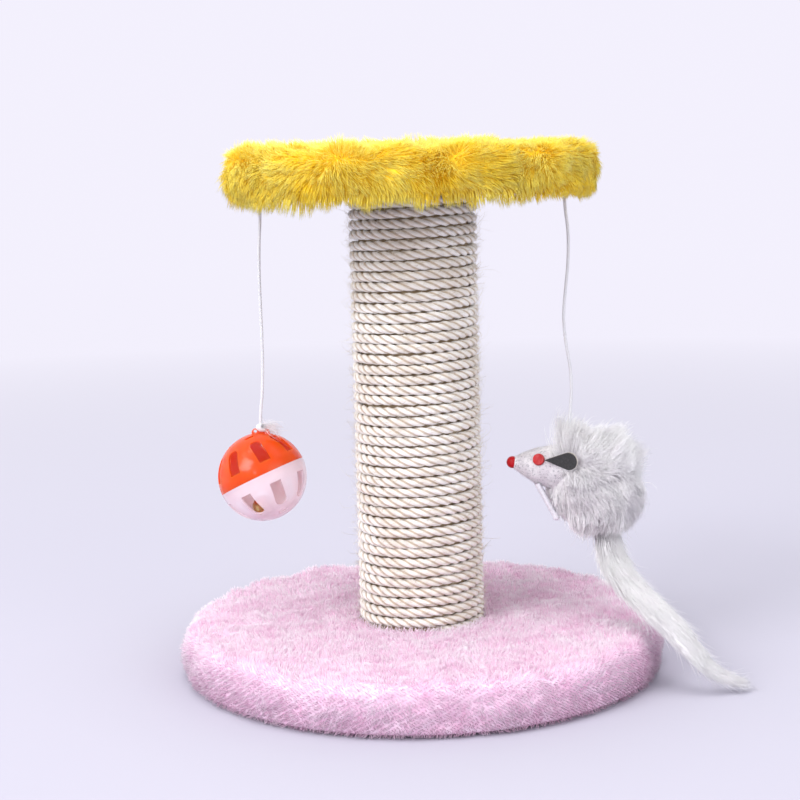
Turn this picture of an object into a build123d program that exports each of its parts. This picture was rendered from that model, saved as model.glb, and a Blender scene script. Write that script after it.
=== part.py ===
"""A small cat climbing frame: a round plush base, a post wound with rope, a round
plush platform, and two toys that hang from the platform on elastic strings.

Millimetres, +Z up. The origin is the centre of the base's underside, which stands on
the floor. +X points to the mouse and -X to the rattle ball.
"""

from build123d import *
import math
import os

import numpy as np

# Base
base_board_radius = 113.0
base_board_thickness = 18.0
base_pile_top = 5.6
base_pile_side = 7.0
base_fold_thickness = 1.6
base_fold_width = 25.0
base_lining_thickness = 0.8
base_lining_lap = 12.0
base_edge_round = 9.0
crushed_pile = 1.6
board_clearance = 0.1

# Post
post_height = 216.0
tube_outer_radius = 26.65
tube_wall = 2.4
plug_clearance = 0.15
lower_plug_height = 22.0
upper_plug_height = 20.0

# Rope
rope_diameter = 4.5
rope_pitch = 4.95
rope_seat_gap = 0.05
rope_start_angle = 90.0
rope_foot_gap = 1.1
rope_top_gap = 1.1
rope_butt_gap = 1.0

# Platform
platform_board_radius = 82.4
platform_board_thickness = 12.0
platform_pile_top = 8.0
platform_pile_side = 9.1
platform_fold_thickness = 1.2
platform_fold_width = 18.4
platform_lip_drop = 7.0
platform_lip_inset = 3.7
platform_lip_outset = 2.0
platform_side_rise = 4.0
platform_shoulder_inset = 4.6
platform_lining_thickness = 0.8
platform_lining_lap = 4.0

# Fasteners
bolt_radius = 4.0
bolt_length = 40.0
bolt_head_radius = 7.5
bolt_head_height = 4.5
bolt_head_round = 1.5
bolt_tip_bevel = 1.0
bolt_socket_across = 5.0
bolt_socket_depth = 2.8
bolt_clearance = 0.5
washer_radius = 12.0
washer_thickness = 1.5
counterbore_radius = 13.0
counterbore_depth = 7.0
tee_barrel_radius = 5.0
tee_barrel_length = 9.0
tee_flange_radius = 11.0
tee_flange_thickness = 1.5
tee_prong_length = 6.0
tee_prong_width = 3.0
tee_prong_thickness = 1.2
tee_prong_circle = 9.0
tee_prongs = 4
thread_gap = 0.02
screw_radius = 2.0
screw_pilot_radius = 1.5
screw_hole_radius = 2.1
screw_head_radius = 4.0
screw_head_height = 2.4
screw_length = 30.0
screw_tip = 4.0
screw_circle = 13.0
screw_count = 3
nail_radius = 0.8
nail_head_radius = 1.6
nail_head_height = 0.5
nail_length = 12.0
nail_count = 3
lower_nail_rise = 7.3
upper_nail_drop = 10.0
staple_crown = 10.0
staple_wire = 0.7
staple_leg = 7.0
base_staple_count = 16
platform_staple_count = 12
rope_staple_leg = 2.0

# Elastic strings and what ties them
string_inset = 8.4
string_diameter = 1.5
hook_wire_radius = 0.5
hook_span = 7.2
hook_leg = 9.0
hook_drop = 3.0
hook_bend_radius = 1.0
loop_wire_radius = 0.55
loop_gap = 0.05
loop_half_bar = 3.4
loop_depth = 3.1
loop_corner = 0.9
top_knot_radius = 1.7
top_knot_length = 2.4
top_knot_round = 0.5
top_knot_bore_gap = 0.05
top_knot_flat = 1.5
largest_arc_share = 0.45

# Rattle ball
ball_radius = 22.0
ball_wall = 1.2
ball_outward = 3.6
ball_height = 96.4
ball_tilt = -24.0
ball_lean = -11.0
ball_lip_depth = 1.6
ball_lip_wall = 0.9
ball_lip_gap = 0.1
slot_count = 8
slot_width = 5.9
slot_low_latitude = 15.0
slot_high_latitude = 49.0
slot_first_longitude = -73.8
cap_hole_count = 4
cap_hole_length = 4.5
cap_hole_width = 2.0
cap_hole_latitude = 64.0
cutter_depth = 8.8
lug_width = 9.0
lug_height = 2.2
lug_round = 1.7
lug_thickness = 2.4
lug_root = 0.9
lug_hole_radius = 0.9
lug_hole_offset = 2.7
lug_hole_height = 1.0
lug_knot_gap = 0.5
ball_knot_radius = 2.3
ball_knot_lift = 0.5
ball_knot_flat = 1.95
ball_string_end_run = 4.0
knot_tail_length = 9.0
knot_tail_tip_radius = 1.4
knot_tail_lift = 0.6
knot_tail_way = (1.0, -0.25, -0.12)
bell_radius = 5.5
bell_wall = 0.5
bell_gap = 0.3
bell_slit_width = 1.2
bell_slit_length = 7.0
bell_hole_radius = 1.1
bell_turn = (0.0, 55.0, 20.0)
pellet_radius = 2.0
pellet_gap = 0.1

# Mouse
mouse_outward = 10.0
mouse_height = 89.0
mouse_slope = 31.0
fur_front = 26.0
fur_back = 28.0
fur_radius = 21.5
core_front = 19.0
core_back = 18.0
core_radius = 12.0
core_wall = 1.3
core_hole_radius = 4.0
egg_shoulder_radius = 0.75
egg_shoulder_reach = 0.66
snout_reach = (-37.4, 11.4)
head_slope = 8.0
head_length = 27.0
head_tip_radius = 2.4
head_mid_length = 11.3
head_mid_radius = 8.2
head_back_radius = 12.0
nose_radius = 3.0
eye_radius = 3.0
eye_thickness = 1.4
eye_stand_off = 0.3
eye_reach = (-25.0, 13.7)
eye_face_down = 22.0
eye_face_in = 14.0
ear_length = 16.9
ear_width = 8.6
ear_thickness = 1.2
ear_turn = 25.0
ear_tip_reach = (-22.4, 14.0)
ear_stand_off = 10.6
leg_radius = 1.4
leg_foot_radius = 1.7
leg_length = 19.0
front_leg_reach = (-25.7, 1.0)
rear_leg_reach = (-11.0, -1.5)
front_leg_lean = 28.6
rear_leg_lean = 8.0
leg_half_spread = 4.6
leg_splay = 6.0
string_hole_gap = 0.75
mouse_knot_radius = 2.4
mouse_knot_flat = 2.2
mouse_knot_reach = (-9.4, 9.2)
tail_plug_length = 9.0
tail_plug_start = 8.0
tail_plug_turn = 160.6
tail_face = (0.35, -0.6, 0.72)
tail_root_width = 9.0
tail_full_width = 15.0
tail_tip_width = 3.0
tail_root_thickness = 8.0
tail_tip_thickness = 1.6
tail_stations = 16

# Levels and radii that follow from the sizes above
base_board_bottom = base_lining_thickness + base_fold_thickness
base_board_top = base_board_bottom + base_board_thickness
base_top = base_board_top + base_pile_top
base_radius = base_board_radius + base_pile_side
post_bottom = base_board_top + crushed_pile
post_top = post_bottom + post_height
platform_board_bottom = post_top
platform_board_top = platform_board_bottom + platform_board_thickness
platform_top = platform_board_top + platform_pile_top
platform_radius = platform_board_radius + platform_pile_side
platform_fold_bottom = platform_board_bottom - platform_fold_thickness
tube_inner_radius = tube_outer_radius - tube_wall
plug_radius = tube_inner_radius - plug_clearance
rope_radius = rope_diameter / 2
rope_path_radius = tube_outer_radius + rope_seat_gap + rope_radius
rope_outer_radius = rope_path_radius + rope_radius
rope_bottom = post_bottom + rope_radius + rope_foot_gap
post_recess_radius = rope_outer_radius + staple_wire + board_clearance * 3
hook_height = platform_fold_bottom - hook_drop / 2 - hook_wire_radius
bar_height = hook_height - loop_depth
string_top = bar_height - top_knot_flat
base_lining_radius = base_board_radius - base_fold_width + base_lining_lap
platform_lining_radius = platform_board_radius - platform_fold_width + platform_lining_lap
rope_turns = int((post_top - rope_top_gap - rope_radius - rope_bottom) / rope_pitch / 2)
string_circle = platform_board_radius - string_inset
ball_centre = Vector(-string_circle - ball_outward, 0, ball_height)
ball_lug_top = ball_centre + Vector(0, 0, ball_radius + lug_height)
ball_string_end = ball_lug_top + Vector(0, 0, ball_knot_lift + ball_knot_flat)
bell_centre = ball_centre - Vector(0, 0, ball_radius - ball_wall - bell_radius - bell_gap)
mouse_centre = Vector(string_circle + mouse_outward, 0, mouse_height)


def face_of(*edges):
    """The flat face that the edges close, drawn as radius and height."""
    return Plane.XZ * make_face(Curve() + list(edges))


def turned(*edges):
    """A solid of revolution about +Z of edges drawn as radius and height."""
    return revolve(face_of(*edges), Axis.Z)


def disc(radius, bottom, top):
    """A round slab about +Z between two heights."""
    return Pos(0, 0, (bottom + top) / 2) * Cylinder(radius, top - bottom)


def group(solids):
    """Separate solids kept as one node."""
    return Compound(children=[s for part in solids for s in part.solids()])


def largest(shape):
    """The biggest of the solids that a cut leaves."""
    return max(shape.solids(), key=lambda solid: solid.volume)


def around(count, start=0.0):
    """Equal angles round the post, in degrees."""
    return [start + 360.0 * i / count for i in range(count)]


def staple(crown, leg, wire):
    """A wire staple: its crown along Y at height 0, legs up to the leg's length."""
    body = Pos(0, 0, wire / 2) * Box(wire, crown, wire)
    for side in (-1, 1):
        body += Pos(0, side * (crown - wire) / 2, leg / 2) * Box(wire, wire, leg)
    return body


def tube_along(wire, radius):
    """A round tube swept along a wire, square to its start."""
    start = Plane(origin=wire @ 0, z_dir=wire % 0)
    return sweep(start * Circle(radius), path=wire)


# Base


def base_board():
    board = disc(base_board_radius, base_board_bottom, base_board_top)
    board -= disc(bolt_radius + bolt_clearance, 0, base_board_top)
    return board - disc(counterbore_radius, 0, base_board_bottom + counterbore_depth)


def base_plush():
    inner = base_board_radius + board_clearance
    fold_inner = base_board_radius - base_fold_width
    low, high = base_lining_thickness, base_top
    round_low, round_high = low + base_edge_round, high - base_edge_round
    knee = base_radius - base_edge_round
    bulge = base_edge_round * (1 - math.sqrt(0.5))
    hole = bolt_radius + bolt_clearance
    return turned(
        Line((fold_inner, low), (knee, low)),
        ThreePointArc((knee, low), (base_radius - bulge, low + bulge), (base_radius, round_low)),
        Line((base_radius, round_low), (base_radius, round_high)),
        ThreePointArc((base_radius, round_high), (base_radius - bulge, high - bulge), (knee, high)),
        Line((knee, high), (post_recess_radius, high)),
        Line((post_recess_radius, high), (post_recess_radius, post_bottom)),
        Line((post_recess_radius, post_bottom), (hole, post_bottom)),
        Line((hole, post_bottom), (hole, base_board_top)),
        Line((hole, base_board_top), (inner, base_board_top)),
        Line((inner, base_board_top), (inner, base_board_bottom)),
        Line((inner, base_board_bottom), (fold_inner, base_board_bottom)),
        Line((fold_inner, base_board_bottom), (fold_inner, low)),
    )


def base_lining():
    return disc(base_lining_radius, 0, base_lining_thickness) - disc(
        counterbore_radius, 0, base_lining_thickness
    )


def base_staples():
    ring = (base_lining_radius + base_board_radius - base_fold_width) / 2
    one = Pos(ring, 0, base_lining_thickness + board_clearance) * staple(
        staple_crown, staple_leg, staple_wire
    )
    return group(Rot(0, 0, a) * one for a in around(base_staple_count))


def base_washer():
    top = base_board_bottom + counterbore_depth
    return disc(washer_radius, top - washer_thickness, top) - disc(
        bolt_radius + bolt_clearance, 0, top
    )


def base_bolt():
    seat = base_board_bottom + counterbore_depth - washer_thickness
    head = disc(bolt_head_radius, seat - bolt_head_height, seat)
    rim = head.edges().group_by(Axis.Z)[0]
    head = fillet(rim, bolt_head_round)
    socket = Pos(0, 0, seat - bolt_head_height) * RegularPolygon(
        bolt_socket_across / 2, 6, major_radius=False
    )
    head -= extrude(socket, bolt_socket_depth)
    shank = disc(bolt_radius, seat, seat + bolt_length)
    tip = shank.edges().group_by(Axis.Z)[-1]
    return head + chamfer(tip, bolt_tip_bevel)


# Post


def lower_plug():
    top = post_bottom + lower_plug_height
    plug = disc(plug_radius, post_bottom, top)
    plug -= disc(bolt_radius + bolt_clearance, post_bottom, top)
    return plug - disc(tee_barrel_radius, top - tee_barrel_length, top)


def tee_nut():
    seat = post_bottom + lower_plug_height
    nut = disc(tee_barrel_radius, seat - tee_barrel_length, seat)
    nut += disc(tee_flange_radius, seat, seat + tee_flange_thickness)
    prong = Pos(tee_prong_circle, 0, seat - tee_prong_length / 2) * Box(
        tee_prong_thickness, tee_prong_width, tee_prong_length
    )
    for a in around(tee_prongs):
        nut += Rot(0, 0, a) * prong
    return nut - disc(bolt_radius + thread_gap, post_bottom, seat + tee_flange_thickness)


def post_tube():
    return disc(tube_outer_radius, post_bottom, post_top) - disc(
        tube_inner_radius, post_bottom, post_top
    )


def upper_plug():
    plug = disc(plug_radius, post_top - upper_plug_height, post_top)
    pilot_bottom = platform_board_top - screw_length
    for a in around(screw_count, rope_start_angle):
        plug -= Rot(0, 0, a) * Pos(screw_circle, 0, 0) * disc(
            screw_pilot_radius, pilot_bottom, post_top
        )
    return plug


def plug_nails(height):
    """Nails through the tube into a plug, with their heads flush under the rope."""
    head = Pos(tube_outer_radius - nail_head_height / 2, 0, height) * Rot(0, 90, 0)
    shank = Pos(tube_outer_radius - nail_length / 2, 0, height) * Rot(0, 90, 0)
    one = head * Cylinder(nail_head_radius, nail_head_height)
    one += shank * Cylinder(nail_radius, nail_length)
    return group(Rot(0, 0, a) * one for a in around(nail_count, -rope_start_angle))


# Rope


def rope_point(turn):
    """The rope's centre after so many turns from its foot, and its direction there."""
    angle = math.radians(rope_start_angle) + 2 * math.pi * turn
    rise = rope_pitch / (2 * math.pi)
    place = Vector(
        rope_path_radius * math.cos(angle),
        rope_path_radius * math.sin(angle),
        rope_bottom + rope_pitch * turn,
    )
    way = Vector(-rope_path_radius * math.sin(angle), rope_path_radius * math.cos(angle), rise)
    return place, way.normalized()


def biarc(start, start_way, end, end_way):
    """Two arcs that leave start and reach end along the given directions."""
    chord, ways = end - start, start_way + end_way
    a = 2 * (1 - start_way.dot(end_way))
    b = 2 * chord.dot(ways)
    reach = (-b + math.sqrt(b * b + 4 * a * chord.dot(chord))) / (2 * a)
    before, after = start + start_way * reach, end - end_way * reach
    middle = (before + after) * 0.5
    return [
        Edge.make_tangent_arc(start, start_way, middle),
        Edge.make_tangent_arc(middle, (after - before).normalized(), end),
    ]


def rope_route(first_turn, last_turn):
    """A winding's centreline in half turns, with a straight end on each side."""
    halves = round(2 * (last_turn - first_turn))
    stops = [rope_point(first_turn + i / 2) for i in range(halves + 1)]
    (start, start_way), (end, end_way) = stops[0], stops[-1]
    edges = [Edge.make_line(start - start_way * rope_diameter, start)]
    for (a, a_way), (b, b_way) in zip(stops, stops[1:]):
        edges += biarc(a, a_way, b, b_way)
    edges.append(Edge.make_line(end, end + end_way * rope_diameter))
    return Wire(edges)


def least_gap(wire, diameter, steps=1600):
    """The least space between a winding's turns, measured on points along it."""
    places = np.array([tuple(wire @ (i / steps)) for i in range(steps + 1)])
    near = max(1, round(math.pi * diameter * steps / wire.length))
    least = min(
        np.linalg.norm(places[i + near :] - places[i], axis=1).min()
        for i in range(steps - near)
    )
    return least - diameter


def rope_ends():
    """The turns where the two windings start and stop, butted at half height."""
    butt = (rope_diameter + rope_butt_gap / 2) / (2 * math.pi * rope_path_radius)
    return (0.0, rope_turns), (rope_turns + 2 * butt, 2 * rope_turns + 2 * butt)


def sisal_rope(name, ends):
    wire = rope_route(*ends)
    rope = tube_along(wire, rope_radius)
    share = rope.volume / (math.pi * rope_radius**2 * wire.length)
    gap = least_gap(wire, rope_diameter)
    print(f"{name}: {ends[1] - ends[0]:.2f} turns, length {wire.length:.0f}, least gap {gap:.2f}")
    print(f"{name}: volume share {share:.4f}")
    return rope


def rope_end_staples():
    """One wire staple over each of the four rope ends, its legs in the tube's wall."""
    staples = []
    crown = rope_diameter + 2 * staple_wire
    leg = rope_diameter + staple_wire + rope_staple_leg
    for ends in rope_ends():
        for turn, side in zip(ends, (-1, 1)):
            place, way = rope_point(turn)
            place += way * side * rope_diameter / 2
            out = Vector(place.X, place.Y, 0).normalized()
            frame = Plane(
                origin=place + out * (rope_radius + staple_wire), x_dir=way, z_dir=out * -1
            )
            staples.append(frame.location * staple(crown, leg, staple_wire))
    return group(staples)


# Platform


def platform_board():
    board = disc(platform_board_radius, platform_board_bottom, platform_board_top)
    for a in around(screw_count, rope_start_angle):
        board -= Rot(0, 0, a) * Pos(screw_circle, 0, 0) * screw_hole()
    return board


def screw_hole():
    """A clearance hole with a countersink in the platform board's top."""
    sink = platform_board_top - screw_head_height
    hole = disc(screw_hole_radius, platform_board_bottom, platform_board_top)
    return hole + turned(
        Line((0, sink), (screw_hole_radius, sink)),
        Line((screw_hole_radius, sink), (screw_head_radius, platform_board_top)),
        Line((screw_head_radius, platform_board_top), (0, platform_board_top)),
        Line((0, platform_board_top), (0, sink)),
    )


def platform_screws():
    top, sink = platform_board_top, platform_board_top - screw_head_height
    tip = top - screw_length
    one = turned(
        Line((0, tip), (screw_radius, tip + screw_tip)),
        Line((screw_radius, tip + screw_tip), (screw_radius, sink)),
        Line((screw_radius, sink), (screw_head_radius - board_clearance, top)),
        Line((screw_head_radius - board_clearance, top), (0, top)),
        Line((0, top), (0, tip)),
    )
    return group(
        Rot(0, 0, a) * Pos(screw_circle, 0, 0) * one
        for a in around(screw_count, rope_start_angle)
    )


def platform_plush():
    """The cover: it hangs in a lip round the board's edge and folds in under the board."""
    inner = platform_board_radius + board_clearance
    fold_inner = platform_board_radius - platform_fold_width
    fold, top = platform_fold_bottom, platform_top
    root = (platform_board_radius - platform_lip_inset, fold)
    lip = (platform_board_radius + platform_lip_outset, fold - platform_lip_drop)
    side = (platform_radius, platform_board_bottom + platform_side_rise)
    shoulder = (platform_board_radius - platform_shoulder_inset, top)
    return turned(
        Line((fold_inner, fold), root),
        Spline(root, lip, side, tangents=[(0, -1), (0, 1)]),
        Spline(side, shoulder, tangents=[(0, 1), (-1, 0)]),
        Line(shoulder, (0, top)),
        Line((0, top), (0, platform_board_top)),
        Line((0, platform_board_top), (inner, platform_board_top)),
        Line((inner, platform_board_top), (inner, platform_board_bottom)),
        Line((inner, platform_board_bottom), (fold_inner, platform_board_bottom)),
        Line((fold_inner, platform_board_bottom), (fold_inner, fold)),
    )


def platform_lining():
    top = platform_fold_bottom
    return disc(platform_lining_radius, top - platform_lining_thickness, top) - disc(
        post_recess_radius, top - platform_lining_thickness, top
    )


def platform_staples():
    ring = platform_board_radius - platform_fold_width / 2
    one = Pos(ring, 0, platform_fold_bottom + board_clearance) * staple(
        staple_crown, staple_leg, staple_wire
    )
    half_step = 180.0 / platform_staple_count
    return group(Rot(0, 0, a) * one for a in around(platform_staple_count, half_step))


# Strings


def string_hooks():
    """Round-wire staples in the platform board, one for each string."""
    half = hook_span / 2
    route = FilletPolyline(
        (-half, 0, hook_leg),
        (-half, 0, 0),
        (half, 0, 0),
        (half, 0, hook_leg),
        radius=[hook_bend_radius, hook_bend_radius],
    )
    one = tube_along(route.wire(), hook_wire_radius)
    return group(Pos(side * string_circle, 0, hook_height) * one for side in (-1, 1))


def string_loop(side):
    """The string's top end, tied as a small loop round its hook's wire."""
    grip = hook_wire_radius + loop_gap + loop_wire_radius
    reach = math.hypot(loop_half_bar, loop_depth)
    half_angle = math.acos(grip / reach) - math.atan2(loop_depth, loop_half_bar)
    apex = grip / math.sin(half_angle)
    route = FilletPolyline(
        (0, -loop_half_bar, -loop_depth),
        (0, loop_half_bar, -loop_depth),
        (0, 0, apex),
        radius=[loop_corner, loop_corner, grip],
        close=True,
    )
    return Pos(side * string_circle, 0, hook_height) * tube_along(route.wire(), loop_wire_radius)


def string_top_knot(side):
    """The knot that closes the loop and carries the string."""
    knot = Rot(90, 0, 0) * Cylinder(top_knot_radius, top_knot_length)
    knot = fillet(knot.edges().filter_by(GeomType.CIRCLE), top_knot_round)
    knot -= Rot(90, 0, 0) * Cylinder(loop_wire_radius + top_knot_bore_gap, 2 * top_knot_length)
    below = Pos(0, 0, -top_knot_flat - top_knot_radius) * Box(
        4 * top_knot_radius, 4 * top_knot_radius, 2 * top_knot_radius
    )
    return Pos(side * string_circle, 0, bar_height) * (knot - below)


def corner_radii(points):
    """The largest tangent arc at each corner of a route."""
    radii = []
    for a, b, c in zip(points, points[1:], points[2:]):
        before, after = Vector(b) - Vector(a), Vector(c) - Vector(b)
        half_turn = math.radians(before.get_angle(after)) / 2
        shorter = min(before.length, after.length)
        radii.append(largest_arc_share * shorter / math.tan(half_turn))
    return radii


def string_tube(name, points):
    radii = corner_radii(points)
    wire = FilletPolyline(*points, radius=radii).wire()
    tube = tube_along(wire, string_diameter / 2)
    share = tube.volume / (math.pi * (string_diameter / 2) ** 2 * wire.length)
    print(f"{name}: length {wire.length:.1f}, least radius {min(radii):.0f}, volume share {share:.4f}")
    return tube


def hanging(side, end, sways):
    """A string's points: how far out, how far back, and after which share of its fall."""
    fall = string_top - end.Z
    start = (side * string_circle, 0, string_top)
    middle = [
        (side * (string_circle + out), back, string_top - share * fall)
        for out, back, share in sways
    ]
    return [start, *middle, tuple(end)]


def ball_string_points():
    return hanging(-1, ball_string_end, [
        (0.0, 0.0, 0.06),
        (1.0, 0.0, 0.16),
        (1.6, 0.2, 0.30),
        (1.5, 0.0, 0.47),
        (1.3, -0.2, 0.63),
        (1.6, 0.0, 0.77),
        (2.4, 0.1, 0.88),
        (ball_outward, 0.0, 0.96),
    ])


def mouse_string_points():
    end = mouse_knot_centre() + Vector(0, 0, mouse_knot_flat)
    return hanging(1, end, [
        (0.0, 0.0, 0.04),
        (1.7, 0.0, 0.125),
        (1.4, 0.2, 0.25),
        (-0.4, 0.0, 0.365),
        (-1.4, -0.2, 0.455),
        (-0.1, 0.0, 0.555),
        (2.1, 0.2, 0.65),
        (2.4, 0.0, 0.74),
        (1.2, -0.2, 0.835),
        (end.X - string_circle, 0.0, 0.91),
    ])


# Rattle ball


def ball_frame():
    """Moves the ball from its own upright axis to where it hangs, tilted."""
    return Pos(ball_centre) * Rot(ball_lean, 0, 0) * Rot(0, ball_tilt, 0)


def slot_cutter(longitude, low, high, width):
    """A tombstone prism through the wall, its flat edge towards the seam."""
    middle = math.radians((low + high) / 2)
    east = math.radians(longitude)
    out = Vector(
        math.cos(middle) * math.cos(east), math.cos(middle) * math.sin(east), math.sin(middle)
    )
    half = ball_radius * math.radians(high - low) / 2
    across = Vector(-math.sin(east), math.cos(east), 0)
    square = half * 2 - width / 2
    shape = Pos(0, -half + square / 2) * Rectangle(width, square)
    shape += Pos(0, half - width / 2) * Circle(width / 2)
    plane = Plane(origin=out * (ball_radius - cutter_depth), x_dir=across, z_dir=out)
    return extrude(plane * shape, ball_radius)


def plain_shell():
    """The wall of one half above its seam."""
    inner = ball_radius - ball_wall
    return turned(
        CenterArc((0, 0), ball_radius, 0, 90),
        Line((0, ball_radius), (0, inner)),
        CenterArc((0, 0), inner, 0, 90),
        Line((inner, 0), (ball_radius, 0)),
    )


def lipped_shell():
    """The same wall with a lip inside the seam that the other half slides over."""
    inner = ball_radius - ball_wall
    outside = math.sqrt(inner**2 - ball_lip_depth**2) - ball_lip_gap
    inside = outside - ball_lip_wall
    start = math.degrees(math.asin(ball_lip_depth / inner))
    meet = inner * math.cos(math.radians(start))
    return turned(
        CenterArc((0, 0), ball_radius, 0, 90),
        Line((0, ball_radius), (0, inner)),
        CenterArc((0, 0), inner, start, 90 - start),
        Line((meet, ball_lip_depth), (inside, ball_lip_depth)),
        Line((inside, ball_lip_depth), (inside, -ball_lip_depth)),
        Line((inside, -ball_lip_depth), (outside, -ball_lip_depth)),
        Line((outside, -ball_lip_depth), (outside, 0)),
        Line((outside, 0), (ball_radius, 0)),
    )


def pierced(shell):
    """A half shell with its slots and cap holes."""
    for a in around(slot_count, slot_first_longitude):
        shell -= slot_cutter(a, slot_low_latitude, slot_high_latitude, slot_width)
    for a in around(cap_hole_count, slot_first_longitude):
        east, up = math.radians(a), math.radians(cap_hole_latitude)
        out = Vector(math.cos(up) * math.cos(east), math.cos(up) * math.sin(east), math.sin(up))
        across = Vector(-math.sin(east), math.cos(east), 0)
        plane = Plane(origin=out * (ball_radius - cutter_depth), x_dir=across, z_dir=out)
        shell -= extrude(plane * SlotOverall(cap_hole_length, cap_hole_width), ball_radius)
    return shell


def ball_upper_shell():
    """The half with the inner lip and the lug that the string is tied to."""
    shell = ball_frame() * pierced(lipped_shell())
    height = lug_root + lug_height
    lug = Pos(0, 0, ball_radius - lug_root + height / 2) * Box(lug_width, lug_thickness, height)
    ends = lug.edges().filter_by(Axis.Y).group_by(Axis.Z)[-1]
    lug = fillet(ends, lug_round)
    hole = Pos(-lug_hole_offset, 0, ball_radius + lug_hole_height) * Rot(90, 0, 0)
    lug -= hole * Cylinder(lug_hole_radius, 2 * lug_thickness)
    return shell + Pos(ball_centre) * lug


def ball_lower_shell():
    return ball_frame() * Rot(180, 0, 0) * mirror(pierced(plain_shell()), Plane.XZ)


def ball_string_knot():
    """The knot on the ball's lug, with the string's frayed end lying on the shell."""
    middle = ball_lug_top + Vector(0, 0, ball_knot_lift)
    knot = Pos(middle) * Sphere(ball_knot_radius)
    start = Plane(origin=middle + Vector(0, 0, knot_tail_lift), z_dir=knot_tail_way)
    fray = Cone(string_diameter / 2, knot_tail_tip_radius, knot_tail_length)
    knot += start.location * Pos(0, 0, knot_tail_length / 2) * fray
    block = Box(4 * ball_knot_radius, 4 * ball_knot_radius, 2 * ball_knot_radius)
    above = Pos(ball_string_end + Vector(0, 0, ball_knot_radius)) * block
    lug_space = Pos(ball_lug_top - Vector(0, 0, lug_height)) * Box(
        lug_width + 2 * lug_knot_gap, lug_thickness, 2 * lug_height
    )
    return knot - above - lug_space - Pos(ball_centre) * Sphere(ball_radius)


def ball_bell():
    """A round jingle bell with a slit that ends in two holes."""
    bell = Sphere(bell_radius) - Sphere(bell_radius - bell_wall)
    bell -= Pos(0, 0, -bell_radius) * Box(bell_slit_length, bell_slit_width, bell_radius)
    for side in (-1, 1):
        bell -= Pos(side * bell_slit_length / 2, 0, -bell_radius / 2) * Cylinder(
            bell_hole_radius, bell_radius
        )
    return Pos(bell_centre) * Rot(*bell_turn) * bell


def bell_pellet():
    drop = bell_radius - bell_wall - pellet_radius - pellet_gap
    return Pos(bell_centre - Vector(0, 0, drop)) * Sphere(pellet_radius)


# Mouse


def mouse_frame():
    """Turns +Z to the way that the mouse's back runs, from its neck to its rump."""
    return Pos(mouse_centre) * Rot(0, 90 + mouse_slope, 0)


def by_mouse(reach):
    """A place in the mouse's middle plane, given forwards and up from its centre."""
    return mouse_centre + Vector(reach[0], 0, reach[1])


def head_frame():
    """Turns +Z to the way from the snout's tip to the neck."""
    return Pos(by_mouse(snout_reach)) * Rot(0, 90 + head_slope, 0)


def egg(front, back, radius):
    """A round body about +Z that is widest at the origin and closes to each side."""
    shoulder = egg_shoulder_radius * radius
    return turned(
        Spline(
            (0, -front),
            (shoulder, -front * egg_shoulder_reach),
            (radius, 0),
            (shoulder, back * egg_shoulder_reach),
            (0, back),
            tangents=[(1, 0), (-1, 0)],
        ),
        Line((0, back), (0, -front)),
    )


def head_solid():
    """A cone that swells from the snout to the neck."""
    return head_frame() * turned(
        Line((0, 0), (head_tip_radius, 0)),
        Spline(
            (head_tip_radius, 0), (head_mid_radius, head_mid_length), (head_back_radius, head_length)
        ),
        Line((head_back_radius, head_length), (0, head_length)),
        Line((0, head_length), (0, 0)),
    )


def core_solid(room=0.0):
    return mouse_frame() * egg(core_front + room, core_back + room, core_radius + room)


def mouse_core():
    """The moulded body under the fur, open at its rear for the tail's plug."""
    core = core_solid() - core_solid(-core_wall)
    core -= tail_plug_frame() * disc(core_hole_radius, 0, core_back)
    return core - string_hole()


def mouse_knot_centre():
    """Just under the core's top wall, below the string."""
    return by_mouse(mouse_knot_reach)


def string_hole():
    """The hole that the mouse's string passes down to its knot."""
    hole = Cylinder(string_diameter / 2 + string_hole_gap, fur_radius)
    return Pos(mouse_knot_centre() + Vector(0, 0, fur_radius / 2)) * hole


def fur_solid():
    return mouse_frame() * egg(fur_front, fur_back, fur_radius)


def mouse_legs():
    """Each leg by name, whole."""
    legs = {}
    for pair, reach, lean in (
        ("front", front_leg_reach, front_leg_lean),
        ("rear", rear_leg_reach, rear_leg_lean),
    ):
        for hand, side in (("left", 1), ("right", -1)):
            legs["mouse_" + pair + "_leg_" + hand] = leg_solid(by_mouse(reach), lean, side)
    return legs


def mouse_fur():
    """The fur wrap, with room for the core, the head's neck, the string and the legs."""
    fur = fur_solid() - core_solid(board_clearance) - head_solid() - string_hole()
    for leg in mouse_legs().values():
        fur -= leg
    fur -= tail_solid()
    fur -= tail_plug_solid()
    for side in (-1, 1):
        fur -= ear_solid(side)
        fur -= eye_solid(side)
    return largest(fur)


def mouse_head():
    head = head_solid() - core_solid() - mouse_nose_solid() - string_hole()
    for side in (-1, 1):
        head -= eye_solid(side)
        head -= ear_solid(side)
    for leg in mouse_legs().values():
        head -= leg
    return largest(head)


def mouse_nose_solid():
    return head_frame() * Sphere(nose_radius)


def side_of_head(place):
    """How far the head's side stands from the middle at a place on it."""
    local = (head_frame().inverse() * Pos(place)).position
    share = (local.Z - head_mid_length) / (head_length - head_mid_length)
    radius = head_mid_radius + (head_back_radius - head_mid_radius) * max(0.0, share)
    return math.sqrt(max(0.0, radius**2 - local.X**2))


def eye_solid(side):
    place = by_mouse(eye_reach)
    bead = Sphere(eye_radius)
    bead &= Box(3 * eye_radius, 2 * eye_thickness, 3 * eye_radius)
    out = side_of_head(place) + eye_stand_off
    turn = Rot(side * eye_face_down, 0, side * eye_face_in)
    return Pos(place.X, side * out, place.Z) * turn * bead


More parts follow.
